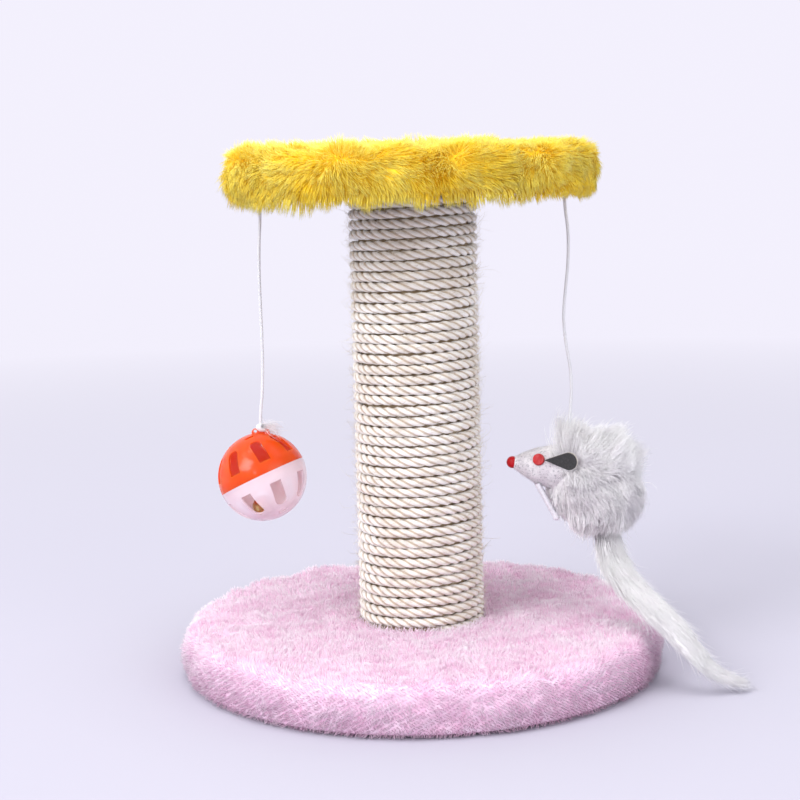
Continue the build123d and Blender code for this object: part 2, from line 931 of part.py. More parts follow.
def ear_solid(side):
    """A flat drop of felt, its point at the eye and its round end to the rear."""
    half = ear_width / 2
    reach = ear_length - half
    touch = math.acos(half / reach)
    edge = (reach - half * math.cos(touch), half * math.sin(touch))
    outline = make_face(
        Curve()
        + [
            Line((0, 0), edge),
            ThreePointArc(edge, (ear_length, 0), (edge[0], -edge[1])),
            Line((edge[0], -edge[1]), (0, 0)),
        ]
    )
    felt = Rot(90, 0, 0) * Pos(0, 0, -ear_thickness / 2) * extrude(outline, ear_thickness)
    tip = by_mouse(ear_tip_reach) + Vector(0, side * ear_stand_off, 0)
    return Pos(tip) * Rot(0, 0, side * ear_turn) * felt


def leg_solid(top, lean, side):
    """A short round leg that leans back as it goes down."""
    leg = Pos(0, 0, -leg_length / 2) * Cylinder(leg_radius, leg_length)
    leg += Pos(0, 0, -leg_length) * Sphere(leg_foot_radius)
    place = top + Vector(0, side * leg_half_spread, 0)
    return Pos(place) * Rot(side * leg_splay, -lean, 0) * leg


def tail_route():
    """The tail's middle: down from the mouse, over the base's rim and onto the floor."""
    rim, floor = Vector(base_radius, 0, base_top), Vector(base_radius, 0, 0)
    return Spline(
        mouse_centre + Vector(4.6, 0, -13),
        mouse_centre + Vector(8.6, -1, -25),
        rim + Vector(-24, -18, 22.6),
        rim + Vector(-13.5, -42, 12.2),
        rim + Vector(0.5, -57, 0),
        floor + Vector(12, -63, 12.2),
        floor + Vector(21, -63.5, 7),
        floor + Vector(32, -62.5, 3.2),
    )


def tail_solid():
    """A flattened plume lofted through ovals along its middle."""
    route = tail_route()
    ovals = []
    for i in range(tail_stations):
        share = i / (tail_stations - 1)
        swell = math.sin(math.pi * share)
        slim = share**2
        width = tail_root_width * (1 - slim) + tail_tip_width * slim
        width += (tail_full_width - tail_root_width) * swell
        thickness = tail_root_thickness * (1 - slim) + tail_tip_thickness * slim
        way = route % share
        across = Vector(*tail_face).cross(way).normalized()
        plane = Plane(origin=route @ share, x_dir=across, z_dir=way)
        ovals.append(plane * Ellipse(width / 2, thickness / 2))
    return loft(ovals)


def mouse_tail():
    return tail_solid() - core_solid() - tail_plug_solid()


def tail_plug_frame():
    """Turns +Z to the way from the core's middle to the tail's root."""
    return Pos(mouse_centre) * Rot(0, tail_plug_turn, 0)


def tail_plug_solid():
    """The plug that holds the tail in the hole under the core."""
    end = tail_plug_start + tail_plug_length
    return tail_plug_frame() * disc(core_hole_radius - board_clearance, tail_plug_start, end)


def mouse_string_knot():
    place = mouse_knot_centre()
    block = Box(4 * mouse_knot_radius, 4 * mouse_knot_radius, 2 * mouse_knot_radius)
    above = Pos(place + Vector(0, 0, mouse_knot_flat + mouse_knot_radius)) * block
    return Pos(place) * Sphere(mouse_knot_radius) - above


def all_parts():
    """Every sub-part by name."""
    parts = {
        "base_board": base_board(),
        "base_plush": base_plush(),
        "base_lining": base_lining(),
        "base_staples": base_staples(),
        "base_washer": base_washer(),
        "base_bolt": base_bolt(),
        "lower_plug": lower_plug(),
        "tee_nut": tee_nut(),
        "lower_plug_nails": plug_nails(post_bottom + lower_nail_rise),
        "post_tube": post_tube(),
        "upper_plug": upper_plug(),
        "upper_plug_nails": plug_nails(post_top - upper_nail_drop),
        "rope_end_staples": rope_end_staples(),
        "platform_board": platform_board(),
        "platform_screws": platform_screws(),
        "platform_plush": platform_plush(),
        "platform_lining": platform_lining(),
        "platform_staples": platform_staples(),
        "string_hooks": string_hooks(),
        "ball_string": string_tube("ball_string", ball_string_points()),
        "ball_string_knot": ball_string_knot(),
        "ball_upper_shell": ball_upper_shell(),
        "ball_lower_shell": ball_lower_shell(),
        "ball_bell": ball_bell(),
        "bell_pellet": bell_pellet(),
        "mouse_string": string_tube("mouse_string", mouse_string_points()),
        "mouse_string_knot": mouse_string_knot(),
        "mouse_core": mouse_core(),
        "mouse_fur": mouse_fur(),
        "mouse_head": mouse_head(),
        "mouse_nose": mouse_nose_solid() - head_solid(),
        "mouse_tail": mouse_tail(),
        "mouse_tail_plug": tail_plug_solid(),
    }
    for name, ends in zip(("sisal_rope_lower", "sisal_rope_upper"), rope_ends()):
        parts[name] = sisal_rope(name, ends)
    for toy, side in (("ball", -1), ("mouse", 1)):
        parts[toy + "_string_loop"] = string_loop(side)
        parts[toy + "_string_top_knot"] = string_top_knot(side)
    for hand, side in (("left", 1), ("right", -1)):
        parts["mouse_eye_" + hand] = eye_solid(side)
        parts["mouse_ear_" + hand] = ear_solid(side)
    for name, leg in mouse_legs().items():
        parts[name] = largest(leg - core_solid())
    return parts


os.makedirs("parts", exist_ok=True)
for part_name, part in all_parts().items():
    export_step(part, "parts/" + part_name + ".step")
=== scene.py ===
import math

import bpy
import numpy as np
from mathutils import Matrix, Vector, kdtree


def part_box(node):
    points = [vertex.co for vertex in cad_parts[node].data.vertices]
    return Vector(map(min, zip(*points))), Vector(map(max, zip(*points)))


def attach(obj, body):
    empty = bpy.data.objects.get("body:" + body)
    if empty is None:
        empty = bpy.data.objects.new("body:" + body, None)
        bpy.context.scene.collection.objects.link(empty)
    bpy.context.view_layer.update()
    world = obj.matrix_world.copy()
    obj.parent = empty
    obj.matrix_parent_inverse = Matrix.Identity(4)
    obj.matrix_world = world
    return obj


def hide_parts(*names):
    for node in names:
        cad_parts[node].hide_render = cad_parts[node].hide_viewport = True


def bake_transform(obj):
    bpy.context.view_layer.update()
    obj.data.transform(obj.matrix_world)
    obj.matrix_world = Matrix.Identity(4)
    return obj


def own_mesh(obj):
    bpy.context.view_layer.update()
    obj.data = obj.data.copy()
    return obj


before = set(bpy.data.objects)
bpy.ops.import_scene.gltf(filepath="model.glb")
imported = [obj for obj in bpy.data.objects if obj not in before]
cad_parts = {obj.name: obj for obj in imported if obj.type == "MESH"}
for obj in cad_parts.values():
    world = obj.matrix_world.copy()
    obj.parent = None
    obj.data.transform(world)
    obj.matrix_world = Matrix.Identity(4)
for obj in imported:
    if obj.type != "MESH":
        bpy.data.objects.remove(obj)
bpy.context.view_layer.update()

MM = 0.001
SEED = 7

# The stand's own sizes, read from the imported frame
base_low, base_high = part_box("base_plush")
top_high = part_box("platform_plush")[1]
top_board_low, top_board_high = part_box("platform_board")
rope_foot, rope_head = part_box("sisal_rope_lower")[0].z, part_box("sisal_rope_upper")[1].z
rope_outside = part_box("sisal_rope_lower")[1].x
tube_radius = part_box("post_tube")[1].x
board_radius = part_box("base_board")[1].x
base_radius = base_high.x
top_radius = top_high.x
top_board_radius = top_board_high.x
up_way = np.array([0, 0, 1.0])
down_way = -up_way


# Numbers and noise


def waves(points, size, seed, count=14):
    """Smooth noise of about unit spread at each point, with features of that size."""
    rng = np.random.default_rng(seed)
    ways = rng.normal(size=(count, 3))
    ways /= np.linalg.norm(ways, axis=1, keepdims=True)
    ways *= rng.uniform(0.6, 1.7, (count, 1)) * 2 * math.pi / size
    shifts = rng.uniform(0, 2 * math.pi, count)
    return np.sin(points @ ways.T + shifts).sum(axis=1) * math.sqrt(2 / count)


def distances(line):
    """How far along a line each of its points is."""
    return np.concatenate([[0], np.cumsum(np.linalg.norm(np.diff(line, axis=0), axis=1))])


def three_waves(points, size, seed):
    """Smooth noise in each of three ways."""
    return np.stack([waves(points, size, seed + i) for i in range(3)], axis=1)


def unit(vectors):
    return vectors / np.maximum(np.linalg.norm(vectors, axis=1, keepdims=True), 1e-12)


def even_pairs(count):
    """Points spread evenly over a unit square."""
    i = np.arange(count) + 0.5
    return np.mod(i * 0.7548776662, 1.0), np.mod(i * 0.5698402910, 1.0)


# Meshes


def settle(piece, body, node_name=None):
    """Hides the CAD node that a piece stands for, if any, and puts the piece in its body."""
    if node_name:
        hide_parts(node_name)
    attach(piece, body)


def ring_faces(rings, sides):
    """The faces that join each ring of points to the next."""
    faces = []
    for i in range(rings - 1):
        for j in range(sides):
            k = (j + 1) % sides
            faces.append((i * sides + j, i * sides + k, (i + 1) * sides + k, (i + 1) * sides + j))
    return faces


def end_faces(rings, sides):
    """The faces that close a tube's two ends."""
    return [tuple(range(sides))[::-1], tuple((rings - 1) * sides + j for j in range(sides))]


def write_ring_map(mesh, name, rings, sides, place):
    """A map for ring_faces, from each corner's ring, step and share round; ends lie at its corner."""
    values = []
    for i in range(rings - 1):
        for j in range(sides):
            for di, dj in ((0, 0), (0, 1), (1, 1), (1, 0)):
                values += place(i, di, (j + dj) / sides)
    values += [0.0] * (len(mesh.loops) * 2 - len(values))
    mesh.uv_layers.new(name=name).data.foreach_set("uv", np.array(values, np.float32))


def add_mesh(name, verts, faces, slot_material, smooth=True):
    mesh = bpy.data.meshes.new(name)
    mesh.from_pydata([tuple(v) for v in verts], [], faces)
    mesh.shade_smooth() if smooth else mesh.shade_flat()
    mesh.materials.append(slot_material)
    piece = bpy.data.objects.new(name, mesh)
    bpy.context.scene.collection.objects.link(piece)
    return piece


def write_values(mesh, name, values):
    layer = mesh.attributes.new(name, "FLOAT", "POINT")
    layer.data.foreach_set("value", np.asarray(values, np.float32))


def hair_points(roots, tips, bows, widths, sides, share):
    """Rings of points up each hair and its tip, hair by hair."""
    chord = tips - roots
    side_way = unit(np.cross(unit(chord), [0.31, 0.52, 0.79]))
    other_way = np.cross(unit(chord), side_way)
    rings = []
    for t in share[:-1]:
        middle = roots + chord * t + bows * (4 * t * (1 - t))
        wide = widths[:, None] * (1 - 0.75 * t) / 2
        for k in range(sides):
            turn = 2 * math.pi * k / sides
            rings.append(middle + (side_way * math.cos(turn) + other_way * math.sin(turn)) * wide)
    rings.append(tips)
    return np.stack(rings, axis=1)


def hair_loops(sides, steps):
    """One hair's corners, and how many each of its faces has."""
    quads = np.array([
        (s * sides + k, s * sides + (k + 1) % sides, (s + 1) * sides + (k + 1) % sides, (s + 1) * sides + k)
        for s in range(steps - 1) for k in range(sides)
    ]).reshape(-1, 4)
    last = (steps - 1) * sides
    points = np.array([(last + k, last + (k + 1) % sides, steps * sides) for k in range(sides)])
    return np.concatenate([quads.ravel(), points.ravel()]), np.array([4] * len(quads) + [3] * len(points))


def hair_map(count, sides, share):
    """Where each corner lies on the map OFBake, a cell for each hair."""
    steps = len(share) - 1
    corner_u = np.array(
        [(k + d) / sides for _ in range(steps - 1) for k in range(sides) for d in (0, 1, 1, 0)]
        + [(k + d) / sides for k in range(sides) for d in (0, 1, 0.5)]
    )
    corner_v = np.array(
        [share[s + d] for s in range(steps - 1) for _ in range(sides) for d in (0, 0, 1, 1)]
        + [share[steps - 1 + d] for _ in range(sides) for d in (0, 0, 1)]
    )
    cells = math.ceil(math.sqrt(count))
    cell = np.arange(count)
    u = ((cell % cells)[:, None] + 0.1 + 0.8 * corner_u) / cells
    v = ((cell // cells)[:, None] + 0.1 + 0.8 * corner_v) / cells
    return np.stack([u, v], axis=-1).astype(np.float32).ravel()


def strands(name, coat, roots, tips, bows, widths, tones, sides=3, steps=3):
    """Tapered hairs from roots to tips, bent by bows, as one mesh.

    Each hair has its tone, and its height from 0 to 1.
    """
    count = len(roots)
    share = np.linspace(0, 1, steps + 1)
    points = hair_points(roots, tips, bows, widths, sides, share)
    per = points.shape[1]
    pattern, sizes = hair_loops(sides, steps)
    loops = (np.arange(count)[:, None] * per + pattern[None, :]).ravel()
    starts = np.concatenate([[0], np.cumsum(np.tile(sizes, count))[:-1]])
    mesh = bpy.data.meshes.new(name)
    mesh.vertices.add(count * per)
    mesh.vertices.foreach_set("co", points.astype(np.float32).ravel())
    mesh.loops.add(len(loops))
    mesh.loops.foreach_set("vertex_index", loops.astype(np.int32))
    mesh.polygons.add(len(starts))
    mesh.polygons.foreach_set("loop_start", starts.astype(np.int32))
    mesh.update(calc_edges=True)
    mesh.shade_smooth()
    height = np.append(np.repeat(share[:-1], sides), 1.0)
    write_values(mesh, "height", np.tile(height, count))
    write_values(mesh, "tone", np.repeat(tones, per))
    mesh.uv_layers.new(name="OFBake").data.foreach_set("uv", hair_map(count, sides, share))
    mesh.materials.append(coat)
    piece = bpy.data.objects.new(name, mesh)
    bpy.context.scene.collection.objects.link(piece)
    return piece


def gather(roots, tips, clump, pull, seed):
    """Draws the tips of neighbouring hairs together, as a pile's locks do."""
    rng = np.random.default_rng(seed)
    count = max(1, int(len(roots) / clump))
    chosen = rng.choice(len(roots), count, replace=False)
    tree = kdtree.KDTree(count)
    for i, j in enumerate(chosen):
        tree.insert(roots[j], i)
    tree.balance()
    owner = chosen[np.array([tree.find(p)[1] for p in roots])]
    strength = pull * rng.uniform(0.5, 1.0, len(roots))[:, None]
    return tips + (tips[owner] - tips) * strength, owner


def on_turned(profile, count):
    """Even points on a surface of revolution about Z, with their normals."""
    profile = np.asarray(profile, float)
    run = np.diff(profile, axis=0)
    length = np.linalg.norm(run, axis=1)
    weight = length * (profile[1:, 0] + profile[:-1, 0]) / 2
    reach = np.concatenate([[0], np.cumsum(weight)]) / weight.sum()
    around, along = even_pairs(count)
    k = np.clip(np.searchsorted(reach, along, side="right") - 1, 0, len(length) - 1)
    share = (along - reach[k]) / np.maximum(reach[k + 1] - reach[k], 1e-12)
    place = profile[k] + run[k] * share[:, None]
    way = run[k] / length[k][:, None]
    c, s = np.cos(2 * math.pi * around), np.sin(2 * math.pi * around)
    points = np.stack([place[:, 0] * c, place[:, 0] * s, place[:, 1]], axis=1)
    normals = np.stack([way[:, 1] * c, way[:, 1] * s, -way[:, 0]], axis=1)
    return points, normals


def rounded(corners, step):
    """A profile's points with arcs of the given radii at its corners, as (r, z, radius)."""
    out = []
    for i, (r, z, radius) in enumerate(corners):
        here = np.array([r, z], float)
        if radius == 0 or i in (0, len(corners) - 1):
            out.append(here)
            continue
        before = np.array(corners[i - 1][:2], float) - here
        after = np.array(corners[i + 1][:2], float) - here
        a, b = before / np.linalg.norm(before), after / np.linalg.norm(after)
        turn = math.acos(np.clip(a @ b, -1, 1))
        cut = radius / math.tan(turn / 2)
        middle = here + (a + b) / np.linalg.norm(a + b) * radius / math.sin(turn / 2)
        start, end = here + a * cut - middle, here + b * cut - middle
        pieces = max(2, int(radius * (math.pi - turn) / step))
        for t in np.linspace(0, 1, pieces + 1):
            spot = start * (1 - t) + end * t
            out.append(middle + spot / np.linalg.norm(spot) * radius)
    dense = [out[0]]
    for p in out[1:]:
        gap = np.linalg.norm(p - dense[-1])
        if gap < 1e-9:
            continue
        start = dense[-1]
        for t in np.linspace(0, 1, max(1, int(gap / step)) + 1)[1:]:
            dense.append(start * (1 - t) + p * t)
    return np.array(dense)


def turned_mesh(name, profile, around, coat, bumps=None):
    """A surface of revolution about Z from (r, z) points, moved along its normals by bumps."""
    profile = np.asarray(profile, float)
    run = np.gradient(profile, axis=0)
    turn = np.linspace(0, 2 * math.pi, around, endpoint=False)
    c, s = np.cos(turn), np.sin(turn)
    verts = np.stack([np.outer(profile[:, 0], c), np.outer(profile[:, 0], s),
                      np.outer(profile[:, 1], np.ones(around))], axis=-1).reshape(-1, 3)
    normals = unit(np.stack([np.outer(run[:, 1], c), np.outer(run[:, 1], s),
                             np.outer(-run[:, 0], np.ones(around))], axis=-1).reshape(-1, 3))
    if bumps is not None:
        verts = verts + normals * bumps(verts)[:, None]
    return add_mesh(name, verts, ring_faces(len(profile), around), coat)


# Materials


def new_material(name, color=(0.8, 0.8, 0.8), roughness=0.5, **sockets):
    """A Principled material with its sockets set, and its nodes."""
    mat = bpy.data.materials.new(name)
    mat.use_nodes = True
    shader = mat.node_tree.nodes["Principled BSDF"]
    shader.inputs["Base Color"].default_value = (*color[:3], 1)
    shader.inputs["Roughness"].default_value = roughness
    for key, value in sockets.items():
        shader.inputs[key.replace("_", " ")].default_value = value
    return mat, shader


def node(mat, kind, link=None, **settings):
    """A shader node; link maps its inputs to outputs or values."""
    made = mat.node_tree.nodes.new("ShaderNode" + kind)
    for key, value in settings.items():
        setattr(made, key, value)
    for key, value in (link or {}).items():
        if isinstance(value, bpy.types.NodeSocket):
            mat.node_tree.links.new(value, made.inputs[key])
        else:
            made.inputs[key].default_value = value
    return made


def ramp(mat, source, *stops):
    made = node(mat, "ValToRGB", {"Fac": source})
    elements = made.color_ramp.elements
    while len(elements) < len(stops):
        elements.new(1.0)
    for element, (place, color) in zip(elements, stops):
        element.position = place
        element.color = (*color, 1)
    return made.outputs["Color"]


def value_of(mat, name):
    return node(mat, "Attribute", attribute_name=name).outputs["Fac"]


def noise_of(mat, scale, detail=4.0, roughness=0.55, stretch=(1, 1, 1)):
    place = node(mat, "TexCoord").outputs["Object"]
    moved = node(mat, "Mapping", {"Vector": place, "Scale": stretch}).outputs["Vector"]
    links = {"Vector": moved, "Scale": scale, "Detail": detail, "Roughness": roughness}
    return node(mat, "TexNoise", links).outputs["Fac"]


def blended(mat, share, one, two, mode="MIX"):
    made = node(mat, "Mix", data_type="RGBA", blend_type=mode)
    for socket, value in ((made.inputs[0], share), (made.inputs[6], one), (made.inputs[7], two)):
        if isinstance(value, bpy.types.NodeSocket):
            mat.node_tree.links.new(value, socket)
        elif isinstance(value, tuple):
            socket.default_value = (*value, 1)
        else:
            socket.default_value = value
    return made.outputs[2]


def math_of(mat, operation, one, two=0.0):
    return node(mat, "Math", {0: one, 1: two}, operation=operation).outputs[0]


def bump_of(mat, shader, height, strength, distance):
    made = node(mat, "Bump", {"Height": height, "Strength": strength, "Distance": distance})
    mat.node_tree.links.new(made.outputs["Normal"], shader.inputs["Normal"])


def to_color(mat, shader, color):
    mat.node_tree.links.new(color, shader.inputs["Base Color"])


def mottle(mat, shader, source, dark, light, low=0.3, high=0.7):
    """Colours a material from dark to light by a noise."""
    to_color(mat, shader, ramp(mat, source, (low, dark), (high, light)))


def pile_material(name, deep, lit, pale, patch_size, sheen=0.25, roughness=0.85, darkest=0.86,
                  painted_floor_shade=(1.0, 1.0, 1.0)):
    """Hair with painted shade that darkens it toward its root, pale at its tip, in uneven patches.

    Its last argument is painted shade at the floor: the colour's share there, where less light reaches it.
    """
    mat, shader = new_material(name, lit, roughness, Sheen_Weight=sheen, Sheen_Roughness=0.5)
    shader.inputs["Specular IOR Level"].default_value = 0.12
    # Painted shade deep in the pile: each hair runs from the shaded colour at its root through the lit colour
    # to its pale tip.
    along = ramp(mat, value_of(mat, "height"), (0.0, deep), (0.45, lit), (1.0, pale))
    patch = noise_of(mat, 1 / patch_size, 3.0)
    uneven = ramp(mat, patch, (0.35, deep), (0.62, pale))
    mixed = blended(mat, 0.35, along, uneven)
    tones = {"Value": value_of(mat, "tone"), "To Min": darkest, "To Max": 1.0}
    tone = node(mat, "MapRange", tones).outputs[0]
    shade = node(mat, "CombineColor", {"Red": tone, "Green": tone, "Blue": tone}).outputs[0]
    # Painted shade toward the floor: the colour is darkened from 24 mm down to 2 mm above the floor.
    height = node(mat, "SeparateXYZ", {"Vector": node(mat, "TexCoord").outputs["Object"]}).outputs["Z"]
    rise = node(mat, "MapRange", {"Value": height, "From Min": 2 * MM, "From Max": 24 * MM}).outputs[0]
    low = ramp(mat, rise, (0.0, painted_floor_shade), (1.0, (1.0, 1.0, 1.0)))
    shaded = blended(mat, 1.0, mixed, shade, "MULTIPLY")
    to_color(mat, shader, blended(mat, 1.0, shaded, low, "MULTIPLY"))
    return mat


# Camera, light and floor. The camera was fitted to the photo's base, post and platform.

camera_distance = 820 * MM
camera_height = 251.6 * MM
camera_side = -8.4 * MM
camera_pitch = math.radians(8.23)
camera_roll = math.radians(1.5)
focal_share = 1678.8 / 800
sensor = 36.0

# Light
backdrop = (0.90, 0.875, 0.985)
# The floor's painted glow: darker near the front, fading into the backdrop behind.
near_floor, mid_floor, far_floor = (0.70, 0.68, 0.81), (0.86, 0.84, 0.95), (0.893, 0.868, 0.978)
paper = (0.46, 0.445, 0.525)
fill_color, fill_strength = (0.96, 0.97, 1.0), 0.88
# Each lamp's place, what it points at, its size and its power
lamps = {
    "key": ((-1.8, -1.5, 1.8), (0, 0, 0.12), 1.5, 54),
    "fill": ((1.7, -1.9, 1.1), (0, 0, 0.12), 1.8, 18),
    "top": ((-0.1, -0.1, 2.2), (0, 0, 0.1), 1.6, 26),
    "spark": ((-0.55, -1.7, 0.75), (0, 0, 0.14), 0.12, 2.2),
}
floor_half = 4.0
floor_level = -0.0002


def set_camera():
    data = bpy.data.cameras.new("camera")
    data.sensor_width = sensor
    data.lens = sensor * focal_share
    data.clip_start = 0.01
    data.clip_end = 50
    camera = bpy.data.objects.new("camera", data)
    turn = Matrix.Rotation(math.pi / 2 - camera_pitch, 4, "X") @ Matrix.Rotation(-camera_roll, 4, "Z")
    camera.matrix_world = Matrix.Translation((camera_side, -camera_distance, camera_height)) @ turn
    bpy.context.scene.collection.objects.link(camera)
    bpy.context.scene.camera = camera


def set_world():
    """Even pale light; the camera, gloss and glass see the same pale backdrop."""
    world = bpy.data.worlds.new("studio")
    world.use_nodes = True
    bpy.context.scene.world = world
    nodes, links = world.node_tree.nodes, world.node_tree.links
    shown = nodes["Background"]
    shown.inputs["Color"].default_value = (*backdrop, 1)
    shown.inputs["Strength"].default_value = 1.0
    fill = nodes.new("ShaderNodeBackground")
    fill.inputs["Color"].default_value = (*fill_color, 1)
    fill.inputs["Strength"].default_value = fill_strength
    path = nodes.new("ShaderNodeLightPath")
    seen = nodes.new("ShaderNodeMath")
    seen.operation = "MAXIMUM"
    links.new(path.outputs["Is Camera Ray"], seen.inputs[0])
    seen_too = nodes.new("ShaderNodeMath")
    seen_too.operation = "MAXIMUM"
    links.new(path.outputs["Is Glossy Ray"], seen_too.inputs[0])
    links.new(path.outputs["Is Transmission Ray"], seen_too.inputs[1])
    links.new(seen_too.outputs[0], seen.inputs[1])
    mix = nodes.new("ShaderNodeMixShader")
    links.new(seen.outputs[0], mix.inputs["Fac"])
    links.new(fill.outputs[0], mix.inputs[1])
    links.new(shown.outputs[0], mix.inputs[2])
    links.new(mix.outputs[0], nodes["World Output"].inputs["Surface"])


def add_lamp(name, place, target, size, power):
    data = bpy.data.lights.new(name, "AREA")
    data.shape = "SQUARE"
    data.size = size
    data.energy = power
    lamp = bpy.data.objects.new(name, data)
    lamp.location = place
    lamp.rotation_euler = (Vector(target) - Vector(place)).to_track_quat("-Z", "Y").to_euler()
    bpy.context.scene.collection.objects.link(lamp)


def add_floor():
    """A pale floor that keeps the shadow near the stand and further off becomes a painted glow, darker toward
    the front, that fades to the backdrop.
    """
    mat, shader = new_material("floor_paper", paper, 0.9)
    nodes, links = mat.node_tree.nodes, mat.node_tree.links
    place = node(mat, "TexCoord").outputs["Object"]
    far = node(mat, "VectorMath", {0: place}, operation="LENGTH").outputs["Value"]
    fade = node(mat, "MapRange", {"Value": far, "From Min": 0.22, "From Max": 1.5}).outputs[0]
    depth = node(mat, "SeparateXYZ", {"Vector": place}).outputs["Y"]
    share = node(mat, "MapRange", {"Value": depth, "From Min": -0.45, "From Max": 3.0}).outputs[0]
    shown = ramp(mat, share, (0.0, near_floor), (0.25, mid_floor), (0.55, far_floor), (1.0, backdrop))
    glow = node(mat, "Emission", {"Color": shown, "Strength": 1.0})
    mix = node(mat, "MixShader", {"Fac": fade, 1: shader.outputs[0], 2: glow.outputs[0]})
    links.new(mix.outputs[0], nodes["Material Output"].inputs["Surface"])
    corners = [(x * floor_half, y * floor_half, floor_level) for x, y in ((-1, -1), (1, -1), (1, 1), (-1, 1))]
    add_mesh("floor", corners, [(0, 1, 2, 3)], mat, smooth=False)


# Plush covers


# Pile colours: the first is painted shade for the roots deep in the pile and the cloth between them; lit and
# pale are the middle and the tip.
pink_shaded, pink_lit, pink_pale = (0.88, 0.54, 0.74), (0.94, 0.755, 0.89), (0.99, 0.93, 0.98)
yellow_shaded, yellow_lit, yellow_pale = (1.0, 0.63, 0.01), (1.0, 0.79, 0.05), (1.0, 0.91, 0.28)

base_pile = 5.6 * MM
base_hairs = 72000
top_pile = 9.0 * MM
top_hairs = 76000
top_skin_inset = 4.8 * MM
pile_parts = 4
lowest_hair = 0.4 * MM
# The hole that the rope fills, and where the hooks are
rope_room = 0.15 * MM
recess = rope_outside + rope_room
loop_wire = 0.55 * MM
hook_circle = -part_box("ball_string_loop")[1].x + loop_wire
hook_clearing = 7 * MM


def cloth_material(name, deep, lit, patches, weave):
    """The woven back that a pile grows from, mottled between the pile's painted-shade colour and its lit
    colour.
    """
    mat, shader = new_material(name, deep, 0.95)
    mottle(mat, shader, noise_of(mat, patches, 5.0), deep, lit)
    bump_of(mat, shader, noise_of(mat, weave, 4.0), 0.6, 0.8 * MM)
    return mat


def base_profile(inset):
    """The base's outside as (r, z), that far inside the tips of its pile."""
    low, high = base_low.z + inset, base_high.z - inset
    out = base_radius - inset
    return rounded([
        (board_radius - 24 * MM, base_low.z + 0.3 * MM, 0),
        (out - 1 * MM, base_low.z + 0.3 * MM, 2.0 * MM),
        (out, (low + high) / 2, 14 * MM),
        (out - 2 * MM, high, 6 * MM),
        (recess + 6 * MM, high, 0),
        (recess + 2 * MM, high + 0.8 * MM, 0),
        (recess + 0.3 * MM, high - 0.6 * MM, 0),
    ], 1.5 * MM)


def base_bumps(points):
    flat = np.clip((np.hypot(points[:, 0], points[:, 1]) - recess) / (6 * MM), 0, 1)
    lumps = waves(points, 26 * MM, 1) * 0.55 + waves(points, 9 * MM, 2) * 0.35
    above = np.clip((points[:, 2] - base_low.z - 0.5 * MM) / (6 * MM), 0, 1)
    return lumps * MM * flat * above


def add_pile(name, coat, hairs, parts, body="stand", steps=2, middle=(0, 0)):
    """Hairs in a few meshes, by their angle round the middle."""
    roots = hairs[0]
    angle = np.arctan2(roots[:, 1] - middle[1], roots[:, 0] - middle[0])
    pieces = []
    for i, mine in enumerate(np.array_split(np.argsort(angle), parts)):
        piece = strands(f"{name}_{i + 1}", coat, *[values[mine] for values in hairs], steps=steps)
        settle(piece, body)
        pieces.append(piece)
    return pieces


def clear_of_post(tips):
    """Pushes the tips out of the rope's room and off the floor."""
    tips[:, 2] = np.maximum(tips[:, 2], lowest_hair)
    push = np.maximum(recess / np.maximum(np.hypot(tips[:, 0], tips[:, 1]), 1e-6), 1.0)
    tips[:, :2] *= push[:, None]


def base_hair_tips(roots, normals, rng):
    """Where the short pile's tips are, how long its hairs are and which lock each is in."""
    count = len(roots)
    way = three_waves(roots, 34 * MM, 11) - [0, 0, 0.3]
    way -= normals * (way * normals).sum(axis=1, keepdims=True)
    lean = unit(way) * rng.uniform(0.05, 0.42, (count, 1)) + rng.normal(0, 0.34, (count, 3))
    length = base_pile * rng.uniform(0.48, 0.72, count)
    near_post = np.hypot(roots[:, 0], roots[:, 1]) < recess + 5 * MM
    length[near_post] *= 1.1
    tips = roots + unit(normals * 0.9 + lean) * length[:, None]
    tips, owner = gather(roots, tips, 7, 0.5, SEED + 1)
    clear_of_post(tips)
    return tips, length, owner


def add_base_plush():
    # The pink pile gets painted shade at its roots and toward the floor.
    coat = pile_material("base_pile", pink_shaded, pink_lit, pink_pale, 14 * MM, painted_floor_shade=(0.66, 0.56, 0.63))
    cloth_coat = cloth_material("base_cloth", pink_shaded, pink_lit, 220, 900)
    profile = base_profile(base_pile / 2)
    cloth = turned_mesh("base_cover", profile, 300, cloth_coat, base_bumps)
    settle(cloth, "stand", "base_plush")
    roots, normals = on_turned(profile, base_hairs)
    roots = roots + normals * base_bumps(roots)[:, None]
    rng = np.random.default_rng(SEED)
    tips, length, owner = base_hair_tips(roots, normals, rng)
    bows = normals * (length * 0.10)[:, None]
    widths = rng.uniform(0.30, 0.50, len(roots)) * MM
    tones = np.clip(rng.normal(0.6, 0.2, len(roots)) + 0.18 * np.sin(owner * 1.7), 0, 1)
    pile = add_pile("base_pile", coat, (roots, tips, bows, widths, tones), pile_parts)


def top_profile(inset):
    """The platform cover's outside as (r, z), from its underside's inner edge to its middle."""
    low, high = top_board_low.z - 1.2 * MM, top_high.z - inset
    out = top_radius - inset
    return rounded([
        (top_board_radius - 18 * MM, low, 0),
        (out - 0.5 * MM, low - 0.6 * MM, 2.5 * MM),
        (out, (low + high) / 2, 12 * MM),
        (out - 1.5 * MM, high, 4 * MM),
        (0.5 * MM, high, 0),
    ], 1.5 * MM)


def top_bumps(points):
    above = np.clip((points[:, 2] - top_board_low.z) / (4 * MM), 0.12, 1)
    return (waves(points, 30 * MM, 3) * 0.6 + waves(points, 11 * MM, 4) * 0.5) * MM * above


def top_hair_ways(roots, radial, side, rng):
    """How the long pile is combed: outward on top, down the side, swirled here and there."""
    swirl = np.cross(radial, [0, 0, 1])
    way = radial * 0.5 * (1 - side) + down_way * 0.5 * side
    way = way + swirl * (waves(roots, 46 * MM, 21)[:, None] * 0.75)
    way = way + radial * (waves(roots, 40 * MM, 22)[:, None] * 0.25)
    way = way + up_way * (waves(roots, 30 * MM, 23)[:, None] * 0.35 * side)
    return way + rng.normal(0, 0.2, (len(roots), 3))


